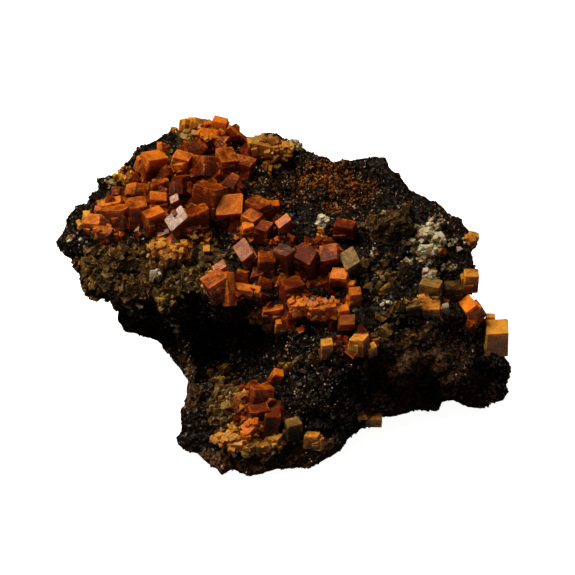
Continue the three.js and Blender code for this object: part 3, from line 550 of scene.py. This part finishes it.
# Cluster: u, v, lift over the rock, side a, side b, height in mm, turn, lean, roll in degrees,
# tone from dark red-brown at 0 to bright at 1, and for some how many grains stand in for the
# crystal, and the polish of its faces.
CRYSTALS = {
    "crystal_cluster_upper_left": [
        [-22.6, 20.9, 1.2, 4.7, 3.2, 3.3, 41, -1, 16, 0.9], [-21, 23.3, 0.7, 1.9, 1.3, 1.9, 55, -39, -3, 1],
        [-17.6, 21.3, 0.8, 3, 2.2, 2.2, -15, 5, 5, 0.55], [-14.2, 20.3, 1.1, 3.1, 4.2, 3.6, 42, -41, 0, 0.2],
        [-10.2, 20.9, 1.1, 3.6, 3.2, 3.6, 30, 5, 5, 0.4], [-7.6, 20.2, 0.9, 3.8, 2.8, 3.2, -22, 8, 8, 0.22],
        [-17.9, 17, 0.9, 2.8, 2.6, 3.2, 62, -41, 1, 0, 0, 0],
        [-21.5, 17, 0.8, 3.5, 1.8, 1.6, 29, -7, -4, 0.3], [-25.1, 16.2, 1, 3.6, 2.6, 2.2, 48, -50, 3, 0.8],
        [-21.3, 14.5, 0.9, 2.4, 3.1, 2.4, 90, 10, -13, 0.35], [-25, 12.3, 0.7, 3.6, 3.8, 4.8, 18, 0, 0, 0.25],
        [-28.5, 12, 1.1, 3.8, 5.1, 3, 65, -17, -5, 0.25], [-29.5, 13.8, 0.5, 5, 2.6, 2.2, 8, 5, -5, 0.6, 4],
        [-32.2, 10.6, 0.5, 3.2, 2.6, 2.4, -20, 5, -10, 0.6],
        [-29.8, 8.9, 0.6, 4.8, 2.4, 2.2, -4, 5, 0, 0.5, 6], [-22.4, 11.2, 0.7, 3.2, 3, 3.8, 30, 5, 0, 0.5],
        [-18.1, 10.8, 1.5, 4, 2.9, 3.6, 36, 30, -14, 0.4, 0, 0.5],
        [-18.7, 12.2, 3.2, 0.9, 1.2, 1.4, 36, 30, -14, 0.05],
        [-18.7, 14.5, 0.9, 1.9, 1.5, 1.8, 20, 30, -14, 0.5, 0, 0.2],
        [-15.2, 11, 0.5, 3.8, 3.4, 4.6, 24, -5, 3, 0, 0, 0], [-13, 14.9, 1.3, 4.2, 5.1, 4.6, 57, -8, 5, 0.1],
        [-10.1, 13.4, 1.3, 4.3, 3.9, 4, 6, 41, 14, 0.95], [-4.9, 13, 1.1, 3.6, 3.2, 3.2, -40, 0, 0, 0.15],
        [-2.4, 13.6, 1, 2, 1.6, 1.6, 15, 10, 10, 0.75], [-5.9, 11, 1.3, 3, 2.6, 3, -35, 5, 0, 0.35],
        [-6.6, 9.6, 1.2, 2.2, 2, 2.4, 15, 5, 0, 0.75], [-3.9, 9.2, 1.2, 2.6, 2.4, 3, -25, 5, 0, 0.1]],
    "crystal_cluster_summit": [
        [-14.2, 26.9, 0.8, 2.4, 2.2, 2.2, 10, 0, 8, 0.75, 4], [-11.4, 27.1, 1, 2.5, 2.2, 2.8, -5, 0, 6, 0.75],
        [-8.8, 25.5, 0.8, 4.2, 1.4, 1.9, 0, 5, 36, 0.45], [-12.9, 25, 0.9, 4.8, 3, 3, 15, 5, 5, 0.6, 9, 0]],
    "amber_crystals_on_the_summit": [
        [-17, 27.1, 0.7, 2.2, 1.8, 2, 43, -45, 4, 0.6, 0, 0],
        [-15.4, 27.4, 0.8, 2.5, 2.2, 2.2, 47, -50, 0, 0.6, 0, 0]],
    "olive_mass_by_the_summit": [[-16.4, 25.2, 0.5, 3.2, 2.4, 2.6, -20, 0, -12, 0.9, 6]],
    "tan_mass_by_the_summit": [
        [-3.9, 23.6, 0.8, 5.2, 3.6, 3, -8, 5, 5, 0.6, 16, 0.1], [-5.8, 24, 1, 1.9, 1.7, 1.9, 20, 0, 0, 0.85],
        [-0.8, 23, 0.4, 3.2, 2.4, 2.4, 15, 5, 10, 0.6, 9]],
    "crystal_cluster_glare": [
        [-0.3, 10.2, 1.1, 2.9, 2, 3.8, 36, 25, -14, 0.55, 0, 0.07],
        [-6.8, 5.3, 1.3, 2.8, 3.7, 4.2, 34, 25, -17, 0.3, 0, 0.06],
        [-0.4, 4.9, 1, 3.4, 2.7, 4.2, -38, 14, -5, 0.2, 0, 0.15],
        [-3.6, 3.8, 0.4, 3.2, 3.2, 3.6, 10, 5, 5, 0.15]],
    "crystal_cluster_middle": [
        [3.2, 4.8, 1.2, 3.4, 3.6, 3.9, 62, 30, -7, 0, 0, 0], [6.8, 4.8, 1, 3.3, 3.2, 3.8, 10, 20, 0, 0.2],
        [8.6, 1.6, 1.1, 3.2, 2.2, 2.2, -8, 10, 0, 0.6]],
    "olive_block": [[10.5, 4.3, 1.2, 3.2, 4, 2.6, 29, 26, -10, 0.35, 0, 0.02]],
    "orange_block_upper_middle": [[9.6, 9.8, 1, 3.6, 2.3, 2.6, -12, 10, 0, 0.1, 0, 0]],
    "pale_grain_upper_middle": [[5.8, 11.1, 0.9, 1.8, 1.5, 1.7, 25, 10, -5, 0.7, 3]],
    "brown_pentagon": [[0.8, -0.5, 1, 3.9, 3, 3.4, 30, 0, 0, 0.05]],
    "winged_mass": [
        [-11.6, 0.2, 1, 4.2, 3.2, 4, 35, 5, -20, 0.5], [-7.1, -0.6, 0.9, 5.4, 1.8, 1.7, 0, 0, 12, 0.75],
        [-9.8, -0.3, 1.5, 1.9, 1.7, 5.6, 45, -35, -5, 0.75],
        [-11.2, 3.1, 0.9, 2.4, 1.8, 1.8, 35, 25, -10, 1, 0, 0.15]],
    "crystal_cluster_lower_middle": [
        [5.9, -3.6, 1.1, 5.4, 3.2, 3, 8, 8, 0, 1, 16, 0.06],
        [2, -3.1, 0.9, 3.8, 2.6, 2.4, -12, 5, -10, 0.8, 9], [9.2, -4.1, 0.9, 2, 1.8, 2, 20, 5, 0, 0.75],
        [9.8, -5.8, 1.2, 2.7, 1.9, 2.4, 6, 31, 7, 1, 0, 0.3], [-0.9, -6, 0.9, 2.5, 2.1, 2.1, 15, 8, 0, 0.75],
        [-3, -6.2, 0.8, 2.4, 1.9, 2.2, -25, 0, 0, 0.9, 5], [-2.4, -4.1, 0.5, 3.6, 2.4, 2.2, 10, 0, 0, 0.3]],
    "orange_blocks_right_of_middle": [
        [11.1, -1.7, 1, 2.3, 2, 3.2, 15, 8, 5, 0.75, 0, 0.08],
        [10.4, 0.3, 0.7, 1.5, 1.3, 1.6, -15, 5, 0, 0.6]],
    "amber_shard": [[6.5, -10.2, 0.8, 2.2, 1.8, 3, 15, 0, 0, 0.6]],
    "amber_pair": [
        [11.8, -9.5, 0.8, 2.7, 2.2, 3.2, -20, 0, 0, 0.55], [13.9, -10.4, 0.9, 1.7, 1.5, 1.9, 35, 5, 0, 1]],
    "yellow_cluster_left": [
        [-21.7, 6.3, 0.8, 2.6, 2.2, 2.6, 20, 5, 0, 0.6, 5],
        [-20.1, 4.9, 1, 2.8, 2.4, 2.8, 45, 10, 0, 0.9, 7, 0.12],
        [-18.5, 5.9, 0.8, 2.7, 2.2, 2.6, -10, 5, 5, 0.6, 6]],
    "olive_lump_left": [[-20.2, -2.6, 0.7, 2.8, 2.2, 2.8, 25, -10, 0, 0.5, 6]],
    "pale_grain_left": [[-21.8, 1.9, 0.6, 1.9, 1.4, 1.7, -25, 10, -10, 0.6, 3]],
    "olive_dome_right": [
        [17.4, 10.2, 0.9, 6.6, 4, 4.2, 10, 0, -6, 0, 46, 0],
        [14.4, 9.6, 0.5, 3.4, 2.8, 3.2, -25, 0, -14, 0.1, 16]],
    "pale_cluster_right": [
        [23, 8.7, 0.6, 2.6, 2, 2.2, 15, 5, 0, 0.5, 6], [25, 7.6, 0.7, 2.2, 2, 2.2, -20, 5, 5, 0.5, 5],
        [23.4, 5.9, 0.6, 2.8, 1.8, 1.8, 5, 5, -5, 0.5, 6]],
    "beige_grain_right": [[23.9, 1.8, 0.7, 2.2, 1.8, 2, 10, 10, 0, 0.4, 4]],
    "olive_blocks_right": [
        [23.9, -0.2, 0.8, 3.4, 2.6, 2.8, -10, 5, 0, 0.7], [20.8, -3.6, 0.4, 2.6, 2.4, 2.4, 12, 5, 0, 0.15]],
    "olive_brown_block_right": [[27.5, -0.7, 0.7, 3.2, 2.6, 3, 20, 5, 8, 0.1]],
    "amber_tip_right": [[31, 8.2, 0.5, 2.3, 1.8, 2.2, 40, 0, 20, 0.9, 4]],
    "amber_block_right": [[30.6, 1.1, 1.2, 2.6, 2.4, 3.4, 12, 0, 5, 0.45]],
    "orange_block_right": [[30.6, -3.6, 1.5, 2.8, 4.6, 2.8, 29, 5, -25, 0.75, 0, 0]],
    # Tones set high: partly the crystal's own amber, partly painted light on its front face, which the lamps
    # leave in shade.
    "large_amber_crystal_right": [
        [34.9, -8.4, 2.2, 4.2, 4, 5, 8, 5, 3, 0.95], [33.9, -5.2, 1.4, 1.6, 1.3, 1.4, 10, 0, 10, 0.9]],
    "yellow_brown_block": [[23.8, -3.9, 0.6, 3.4, 3, 2.7, 5, 5, 3, 0.2]],
    "white_grain_right": [[26.3, -3.7, 0.7, 1.3, 1.2, 2, 15, 5, 0, 0.9, 0, 0.2]],
    "pocket_crust": [
        [-4.5, -18, 0.9, 3.8, 2.9, 3.4, 25, -15, 8, 0.35], [-2.2, -15.3, 0.7, 1.9, 1.8, 3.6, 10, 0, 28, 0.45],
        [-6, -23.3, 1.3, 3.2, 2.9, 3.2, 40, 35, -20, 1, 4, 0], [-5, -21.2, 0.4, 3.4, 3, 4, 20, 5, 5, 0.15],
        [-2.8, -22.6, 0.6, 2.9, 3, 4.6, 12, -5, 10, 0.15]],
    "pocket_lip_crust": [
        [-7.9, -19.5, 0.6, 2.6, 2.4, 5, -15, -15, 14, 0.5, 3],
        [-9.9, -25.4, 0.8, 2.8, 2.2, 2.2, 15, 5, 0, 0.7, 6],
        [-8, -26, 0.8, 2.8, 2.2, 2.2, -10, 15, 0, 0.8, 6],
        [-6, -26.1, 0.9, 3.4, 2.4, 2.2, 35, 20, 0, 0.85, 8],
        [-3.8, -26.1, 0.8, 3.4, 2.4, 2.2, 15, 15, 0, 0.8, 8],
        [-2, -25.2, 0.7, 2.4, 2.2, 2.4, -25, 5, 0, 0.7, 5], [-11.4, -24.9, 0.6, 1.9, 1.6, 2, 40, 0, 0, 1, 3]],
    "yellow_pebble_lobe": [
        [4.1, -25.2, 0.9, 2.6, 2.2, 2.4, -8, 0, 0, 0.45], [5.4, -25.9, 1.2, 0.9, 1.6, 2, -15, -20, 0, 1]],
    "olive_pebble_lobe": [[0.9, -23.3, 0.6, 3, 2.6, 2.8, 25, 0, 0, 0.45]],
    # Tone set high: partly the pebble's own bright yellow, partly painted light on its front face, which the
    # lamps leave in shade.
    "yellow_pebble_under_edge": [[14.4, -22.1, 0.5, 2.8, 1.8, 1.7, 5, 0, 5, 1]],
}


def front_depth(u, v):
    """Depth of the smooth front face at (u, v): the spoke of the rim that runs through it is
    found as the pair of neighbouring rim points whose positive multiples add up to (u, v)."""
    start, end = RIM_CLOSED[:-1], RIM_CLOSED[1:]
    turn = start[:, 0] * end[:, 1] - start[:, 1] * end[:, 0]
    near_start = (u[:, None] * end[:, 1] - v[:, None] * end[:, 0]) / turn
    near_end = (start[:, 0] * v[:, None] - start[:, 1] * u[:, None]) / turn
    side = np.argmax((near_start >= 0) & (near_end >= 0), axis=1)
    row = np.arange(len(u))
    near_start, near_end = near_start[row, side], near_end[row, side]
    reach = near_start + near_end
    rim_depth = (start[side, 2] * near_start + end[side, 2] * near_end) / np.maximum(reach, 1e-6)
    return bulged_depth(u, v, reach, rim_depth, front_height)


def turns(lean, roll, turn):
    """Rotation matrices, for angles in degrees: about the upright by turn, then about the
    front-to-back axis by roll, then about the left-to-right axis by lean."""
    angles = (np.radians(angle) for angle in (lean, roll, turn))
    cx, sx, cy, sy, cz, sz = (wave(angle) for angle in angles for wave in (np.cos, np.sin))
    one, none = np.ones_like(cx), np.zeros_like(cx)
    about_x = np.array([[one, none, none], [none, cx, -sx], [none, sx, cx]]).transpose(2, 0, 1)
    about_y = np.array([[cy, none, sy], [none, one, none], [-sy, none, cy]]).transpose(2, 0, 1)
    about_z = np.array([[cz, -sz, none], [sz, cz, none], [none, none, one]]).transpose(2, 0, 1)
    return about_x @ about_y @ about_z


def random_turns(rng, tilt, count):
    """Rotation matrices with a normal spread of tilts in degrees and any turn."""
    return turns(rng.normal(0, tilt, count), rng.normal(0, tilt, count), rng.uniform(0, 180, count))


def block_rings(half, rng, bevelled):
    """Points of rhombic prisms about their own centres, as rings of their outline from the foot
    to the end, which is a little smaller and slants. A plain one is a grain of two rings of
    four straying corners. A bevelled one has six corners, its sharp edges being cut, each drawn
    apart along its sides into two points, and its first and last ring are drawn in."""
    count = len(half)
    a, b, h = half.T[:, :, None]
    skew = b / math.tan(SIDE_ANGLE)
    if not bevelled:
        outline = np.stack([np.hstack([-a - skew, a - skew, a + skew, -a + skew]),
                            np.hstack([-b, -b, b, b])], axis=-1)
        end = rng.uniform(LEAST_GRAIN_END, 1, (count, 1, 2))
        level = 0 * outline[..., :1]
        foot = np.concatenate([outline, level - h[..., None]], axis=-1)
        head = np.concatenate([outline * end, level + h[..., None]], axis=-1)
        rings = np.hstack([foot, head])
        return rings + rng.uniform(-GRAIN_UNEVENNESS, GRAIN_UNEVENNESS, rings.shape) * half[:, None, :]
    cut = 2 * SHARP_EDGE_CUT * np.minimum(a, b)
    corner_x = [-a - skew + cut, a - skew, a + skew, a + skew - cut, -a + skew, -a - skew]
    corner_y = [-b, -b, b - cut, b, b, -b + cut]
    corners = np.stack([np.hstack(corner_x), np.hstack(corner_y)], axis=-1)
    drawn = []
    for step in (1, -1):
        side = np.roll(corners, step, axis=1) - corners
        drawn.append(corners + side / np.linalg.norm(side, axis=2, keepdims=True) * EDGE_BEVEL)
    outline = np.stack(drawn, axis=2).reshape(count, 12, 2)
    inner = outline * (1 - EDGE_BEVEL / half[:, None, :2])
    end = rng.uniform(LEAST_END, 1, (count, 1, 2))
    slant = rng.normal(0, END_SLANT, (count, 1, 2))
    rings = []
    for ring, height, slope in ((inner, -h, 0), (outline, EDGE_BEVEL - h, 0),
                                (outline * end, h - EDGE_BEVEL, slant), (inner * end, h, slant)):
        rings.append(np.concatenate([ring, (height + (ring * slope).sum(-1))[..., None]], axis=-1))
    return np.hstack(rings)


def block_faces(count, sides, rings):
    """Faces of such prisms: quads between the rings, and the two end faces."""
    ring, step = np.meshgrid(np.arange(rings - 1), np.arange(sides), indexing="ij")
    here, there = ring * sides + step, ring * sides + (step + 1) % sides
    quads = np.stack([here, there, there + sides, here + sides], axis=-1).reshape(-1, 4).tolist()
    ends = [list(range(sides - 1, -1, -1)), list(range((rings - 1) * sides, rings * sides))]
    size = sides * rings
    return [[index + size * block for index in face] for block in range(count) for face in quads + ends]


def block_piece(name, centre, half, rotation, tone, polish, material, seed, bevelled=False):
    """One mesh of rhombic prisms. The tone rises from the foot to the end of each, and a little
    in a direction of its own. For patterns, own_place is a place in the prism's own frame in
    mm, and own_share the same in shares of its half size, as if its sides were square."""
    rng = np.random.default_rng(seed)
    own = block_rings(half, rng, bevelled)
    points = centre[:, None, :] + np.einsum("nij,npj->npi", rotation, own)
    along = rng.normal(0, 1, (len(half), 1, 3))
    across = (own / half[:, None, :] * along).sum(-1) / np.linalg.norm(along, axis=2)
    rise = FOOT_TO_END * own[..., 2] / half[:, None, 2]
    tones = np.clip(tone[:, None] + rise + SIDE_TO_SIDE * across, 0, 1)
    own_place = own + rng.uniform(-PATTERN_REACH, PATTERN_REACH, (len(half), 1, 3))
    square = own.copy()
    square[..., 0] -= own[..., 1] / math.tan(SIDE_ANGLE)
    sides, rings = (12, 4) if bevelled else (4, 2)
    return new_piece(name, points.reshape(-1, 3), block_faces(len(half), sides, rings), material, {
        "tone": tones.ravel(), "polish": np.repeat(polish, sides * rings),
        "own_place": own_place.reshape(-1, 3), "own_share": (square / half[:, None, :]).reshape(-1, 3)})


def crystal_piece(name, rows, material, seed):
    """The crystals of some clusters: whole ones with their corner blocks, and grainy ones as
    smaller blocks spread through the same space."""
    rng = np.random.default_rng(seed)
    rows = np.array([row + [0, DULL][len(row) - 10:] for row in rows], dtype=float)
    u, v, lift = rows[:, :3].T
    centre = on_display(u, v, front_depth(u, v) + lift)
    half = rows[:, 3:6] / 2
    rotation = turns(rows[:, 7], rows[:, 8], rows[:, 6])
    tone, grains, polish = rows[:, 9], GRAINS_EACH * rows[:, 10].astype(int), rows[:, 11]

    whole = grains == 0
    parts = [[values[whole] for values in (centre, half, rotation, tone, polish)]]
    stepped = whole & (half.min(1) * 2 >= CORNER_BLOCKS_FROM)
    for _ in range(CORNER_BLOCKS):
        size = (stepped.sum(), 3)
        small = half[stepped] * rng.uniform(*CORNER_SIZES, size)
        away = rng.choice([-1, 1], size) * (half[stepped] - small + rng.uniform(*CORNER_STEPS, size))
        away[:, 2] = -np.abs(away[:, 2])
        tilt = turns(*rng.normal(0, CORNER_TILT, (3, size[0])))
        lighter = rng.uniform(*CORNER_TONES, size[0])
        parts.append((centre[stepped] + np.einsum("nij,nj->ni", rotation[stepped], away), small,
                      rotation[stepped] @ tilt, np.clip(tone[stepped] + lighter, 0, 1),
                      np.full(size[0], DULL)))
    parts.append((centre[~whole], half[~whole] * GRAINY_CORE, rotation[~whole], tone[~whole], polish[~whole]))
    of = np.repeat(np.arange(len(rows)), grains)
    away = rng.normal(0, 1, (len(of), 3))
    away *= GRAINY_CORE * half[of] / np.abs(away).max(1, keepdims=True)
    tilt = random_turns(rng, GRAIN_TILT, len(of))
    small = rng.uniform(*GRAIN_SIZES, (len(of), 1)) / 2 * rng.uniform(*GRAIN_SIDES, (len(of), 3))
    parts.append((centre[of] + np.einsum("nij,nj->ni", rotation[of], away), small, rotation[of] @ tilt,
                  np.clip(tone[of] + rng.uniform(*GRAIN_TONES, len(of)), 0, 1), polish[of]))
    blocks = (np.concatenate(values) for values in zip(*parts))
    return block_piece(name, *blocks, material, seed, bevelled=True)


def anglesite(name, dark, medium, bright, clear):
    """Anglesite, with its faces as they grew: a heavy, brittle crystal with a resinous to
    glassy lustre. Colour clouds run through its tone, its edges carry a painted glow, a lighter
    tone standing in for light through the thin crystal, growth lines ripple the faces, and much
    of the light goes in and comes out red-brown. Scales are to the mm: clouds of 2 mm (0.5),
    flaws 2 mm apart (0.45), dull patches of 1 mm (0.9), mottles of 0.4 mm (2.4), and growth
    lines 0.4 mm apart (0.9 times 2.6), coarser than real ones."""
    material, add = new_material(name)
    tone, polish, own, share = (
        add("Attribute", {"attribute_name": label}).outputs[output] for label, output in (
            ("tone", "Fac"), ("polish", "Fac"), ("own_place", "Vector"), ("own_share", "Vector")))
    clouds, mottle, wander, patches = (
        add("TexNoise", {"Scale": scale, "Detail": detail, "Roughness": roughness}, Vector=own)
        for scale, detail, roughness in ((0.5, 9.0, 0.72), (2.4, 4.0, 0.7), (0.7, 4.0, 0.5), (0.9, 4.0, 0.7)))

    # Two faces meet in an edge, where the second largest share is 1.
    sizes = add("VectorMath", {"operation": "ABSOLUTE"}, _0=share)
    axes = add("SeparateXYZ", Vector=sizes).outputs
    second, *others = (
        add("Math", {"operation": "MAXIMUM"}, _0=axes[i], _1=axes[j])
        for i, j in ((0, 1), (1, 2), (2, 0)))
    for other in others:
        second = add("Math", {"operation": "MINIMUM"}, _0=second, _1=other)
    # Painted light: the tone rises towards the edges, a painted glow of light shining through the thin
    # crystal there.
    edges = add("MapRange", {"From Min": 0.72, "From Max": 1.0, "To Max": PAINTED_EDGE_GLOW}, Value=second)

    bent = add("VectorMath", {"operation": "MULTIPLY_ADD", 1: (3.0, 3.0, 3.0)},
               _0=wander.outputs["Color"], _2=own)
    cells = add("TexVoronoi", {"feature": "DISTANCE_TO_EDGE", "Scale": 0.45}, Vector=bent)
    flaws = add("MapRange", {"From Max": 0.05, "To Min": 0.22, "To Max": 0.0}, Value=cells)

    total = add("Math", {"operation": "MULTIPLY_ADD", 1: 2.0}, _0=clouds, _2=tone)
    for more in (edges, flaws, mottle):
        total = add("Math", {"operation": "ADD"}, _0=total, _1=more)
    shade = add("MapRange", {"From Min": 1.25, "From Max": 2.75}, Value=total)
    ramp = add("ValToRGB", Fac=shade)
    ramp.color_ramp.elements[0].color = linear(dark)
    ramp.color_ramp.elements[1].color = linear(bright)
    ramp.color_ramp.elements.new(0.5).color = linear(medium)

    stretched = add("Mapping", {"Scale": (0.6, 0.9, 2.6)}, Vector=own)
    lines = add("TexNoise", {"Scale": 0.9, "Detail": 5.0}, Vector=stretched)
    ripple = add("Bump", {"Strength": 0.6, "Distance": 0.0004}, Height=lines)
    polished = add("MapRange", {"From Min": 0.4, "From Max": 0.48, "To Min": 0.2}, Value=patches)
    lustre = add("Math", {"operation": "MULTIPLY"}, _0=polished, _1=polish)
    gloss = add("MapRange", {"From Max": 0.12, "To Min": 0.55, "To Max": 0.28}, Value=lustre)
    entering = add("MapRange", {"From Max": 0.15, "To Min": 0.15, "To Max": clear}, Value=polish)
    shader = add("BsdfPrincipled", {
        "IOR": 1.7, "Subsurface Weight": 0.5, "Subsurface Scale": MM, "Subsurface Radius": (1.0, 0.25, 0.06)},
        Base_Color=ramp, Roughness=gloss, Normal=ripple, Specular_IOR_Level=lustre,
        Transmission_Weight=entering)
    add("OutputMaterial", Surface=shader)
    return material


# Name, then the colours of tone 0, a half and 1, and the share of light that polished faces let in.
CRYSTAL_MATERIALS = {
    "orange_brown_anglesite": anglesite("orange-brown anglesite", "220300", "6e2600", "fa8e22", 0.7),
    "amber_anglesite": anglesite("amber anglesite", "2a0c00", "804409", "f6ae40", 0.7),
    "olive_anglesite": anglesite("olive anglesite", "0b0802", "3c2c0e", "b8944e", 0.7),
    "pale_anglesite": anglesite("pale anglesite", "3a3020", "94825a", "f6f0dc", 0.7),
    "tan_anglesite": anglesite("tan anglesite", "341200", "96500e", "eaa648", 0.6),
}
slots = {part["node"]: part["material_slot"] for part in frame["record"]["subparts"]}
for seed, (slot, material) in enumerate(CRYSTAL_MATERIALS.items()):
    nodes = [node for node in slots if slots[node] == slot]
    rows = [row for cluster, members in CRYSTALS.items() if cluster in nodes for row in members]
    crystals = crystal_piece(slot + "_crystals", rows, material, seed)
    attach(crystals, "root")
    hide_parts(*nodes)

# ===== Crust between the crystals =====
# Smaller crystals of the same kinds, grown as a close crust on the rock in and around the
# clusters. Each colour is one mesh, with its grains set at random on the rock's own faces.

TRIANGLE_CORNERS = rock_points[rock_triangles]
TRIANGLE_SIDES = TRIANGLE_CORNERS[:, 1:] - TRIANGLE_CORNERS[:, :1]
TRIANGLE_AREA = np.linalg.norm(np.cross(TRIANGLE_SIDES[:, 0], TRIANGLE_SIDES[:, 1]), axis=1) / 2
POLISHED_GRAINS = 0.04  # share of the grains that are not quite dull
GRAIN_POLISH = 0.1  # of those
CRUST_TILT = 25  # degrees, the spread
TABLE_GAP = 1.2  # of its reach down, the least height of a grain's middle


def grains_on_rock(name, share, count, sizes, tones, sunk, tilt, material, seed):
    """Grains on the rock's triangles, drawn with a chance of area times share. Each stands on
    the smooth normal there, tilted and turned at random, sunk by part of its height, and is
    left out if it would reach the table. Their sizes run from the least by the square of an
    even chance, so that most are small."""
    rng = np.random.default_rng(seed)
    chance = TRIANGLE_AREA * share
    chosen = rng.choice(len(chance), count, p=chance / chance.sum())
    weights = rng.dirichlet((1, 1, 1), count)
    foot = np.einsum("nk,nkj->nj", weights, TRIANGLE_CORNERS[chosen])
    up = rock_normals[rock_triangles[chosen, 0]]
    side = np.cross(up, rng.normal(0, 1, (count, 3)))
    side /= np.linalg.norm(side, axis=1, keepdims=True)
    upright = np.stack([side, np.cross(up, side), up], axis=-1)
    size = sizes[0] + (sizes[1] - sizes[0]) * rng.uniform(0, 1, (count, 1)) ** 2
    half = size * rng.uniform(*GRAIN_SIDES, (count, 3)) / 2
    rotation = upright @ random_turns(rng, tilt, count)
    centre = foot + up * (half[:, 2:] * (1 - 2 * sunk))
    tone = rng.uniform(*tones, count)
    polish = np.where(rng.uniform(0, 1, count) < POLISHED_GRAINS, GRAIN_POLISH, 0)
    low = (np.abs(rotation[:, 2, :]) * half * TABLE_GAP).sum(1)
    kept = centre[:, 2] > low
    blocks = (values[kept] for values in (centre, half, rotation, tone, polish))
    piece = block_piece(name, *blocks, material, seed)
    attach(piece, "root")
    return piece


def triangle_share(kind):
    """Mean share of a zone kind over the corners of each of the rock's triangles."""
    return zones[kind][rock_triangles].mean(1)


CRUSTS = [
    # name, zone, count, size range in mm, tone range, sunk share, slot
    # These two crusts fill the gaps between the large crystals and keep low tones: partly their own dark
    # brown, partly painted shade of those gaps.
    ("brown_blocks", "amber", 480, (1.2, 3.4), (0.0, 0.25), 0.5, "orange_brown_anglesite"),
    ("orange_crust", "amber", 700, (0.4, 1.3), (0.0, 0.35), 0.35, "orange_brown_anglesite"),
    ("honey_crust", "honey", 800, (0.4, 1.6), (0.1, 0.9), 0.35, "amber_anglesite"),
    ("olive_crust", "olive", 2000, (0.25, 2.0), (0.0, 0.35), 0.5, "olive_anglesite"),
    ("pale_crust", "pale", 600, (0.25, 1.0), (0.0, 0.75), 0.35, "pale_anglesite"),
    ("sugar_crust", "sugar", 550, (0.2, 0.7), (0.0, 0.06), 0.35, "amber_anglesite"),
]
for seed, (name, kind, count, sizes, tones, sunk, slot) in enumerate(CRUSTS, start=20):
    crust = grains_on_rock(name, triangle_share(kind) ** 2, count, sizes, tones, sunk, CRUST_TILT,
                           CRYSTAL_MATERIALS[slot], seed)

# ===== Galena grains =====
# Small cubes of lead sulphide, which grew with the rock and stand out of it all over, in
# patches, front and back. Their cleaved faces are bright where they are not tarnished.

GALENA_SIZES = (0.12, 0.45)  # mm, drawn coarse enough to show as single glints
GALENA_TILT = 40  # degrees, the spread
GALENA_SUNK = 0.4  # of a cube's height
GALENA_PATCH = 2.4  # mm, the size of the patches
PATCH_MEAN = 0.5  # of the densest, how densely the cubes stand on the whole
PATCH_SWING = 1.4  # of the densest, from patch to patch
PATCH_LEAST = 0.08
MOST_COVERED = 0.9  # share of the cubes that a crust of anglesite takes away

# Galena, cleaved along its cubes: a metal-like grey mirror, dulled brown-black in spots of
# 0.5 mm, a scale of 2 to the mm, where it has tarnished.
galena, add = new_material("galena")
own = add("Attribute", {"attribute_name": "own_place"}).outputs["Vector"]
tarnish = add("TexNoise", {"Scale": 2.0, "Detail": 3.0}, Vector=own)
colour = add("ValToRGB", Fac=tarnish)
for end, hex_colour in zip(colour.color_ramp.elements, ("0a0705", "66584a")):
    end.color = linear(hex_colour)
gloss = add("MapRange", {"To Min": 0.15, "To Max": 0.45}, Value=tarnish)
shader = add("BsdfPrincipled", {"Metallic": 1.0}, Base_Color=colour, Roughness=gloss)
add("OutputMaterial", Surface=shader)

covered = np.clip(sum(triangle_share(kind) for kind in ("amber", "honey")), 0, MOST_COVERED)
patch_u, patch_v = (values[rock_triangles].mean(1) / GALENA_PATCH for values in (rock_u, rock_v))
patchy = np.clip(PATCH_MEAN + PATCH_SWING * noise(patch_u + 3, patch_v), PATCH_LEAST, 1)
on_front = is_front[rock_triangles].all(1)
for name, side, count, seed in (("galena_grains_front", on_front, 14000, 31),
                                ("galena_grains_back", ~on_front, 6000, 32)):
    grains = grains_on_rock(name, side * patchy * (1 - covered), count, GALENA_SIZES, (0.0, 1.0), GALENA_SUNK,
                            GALENA_TILT, galena, seed)
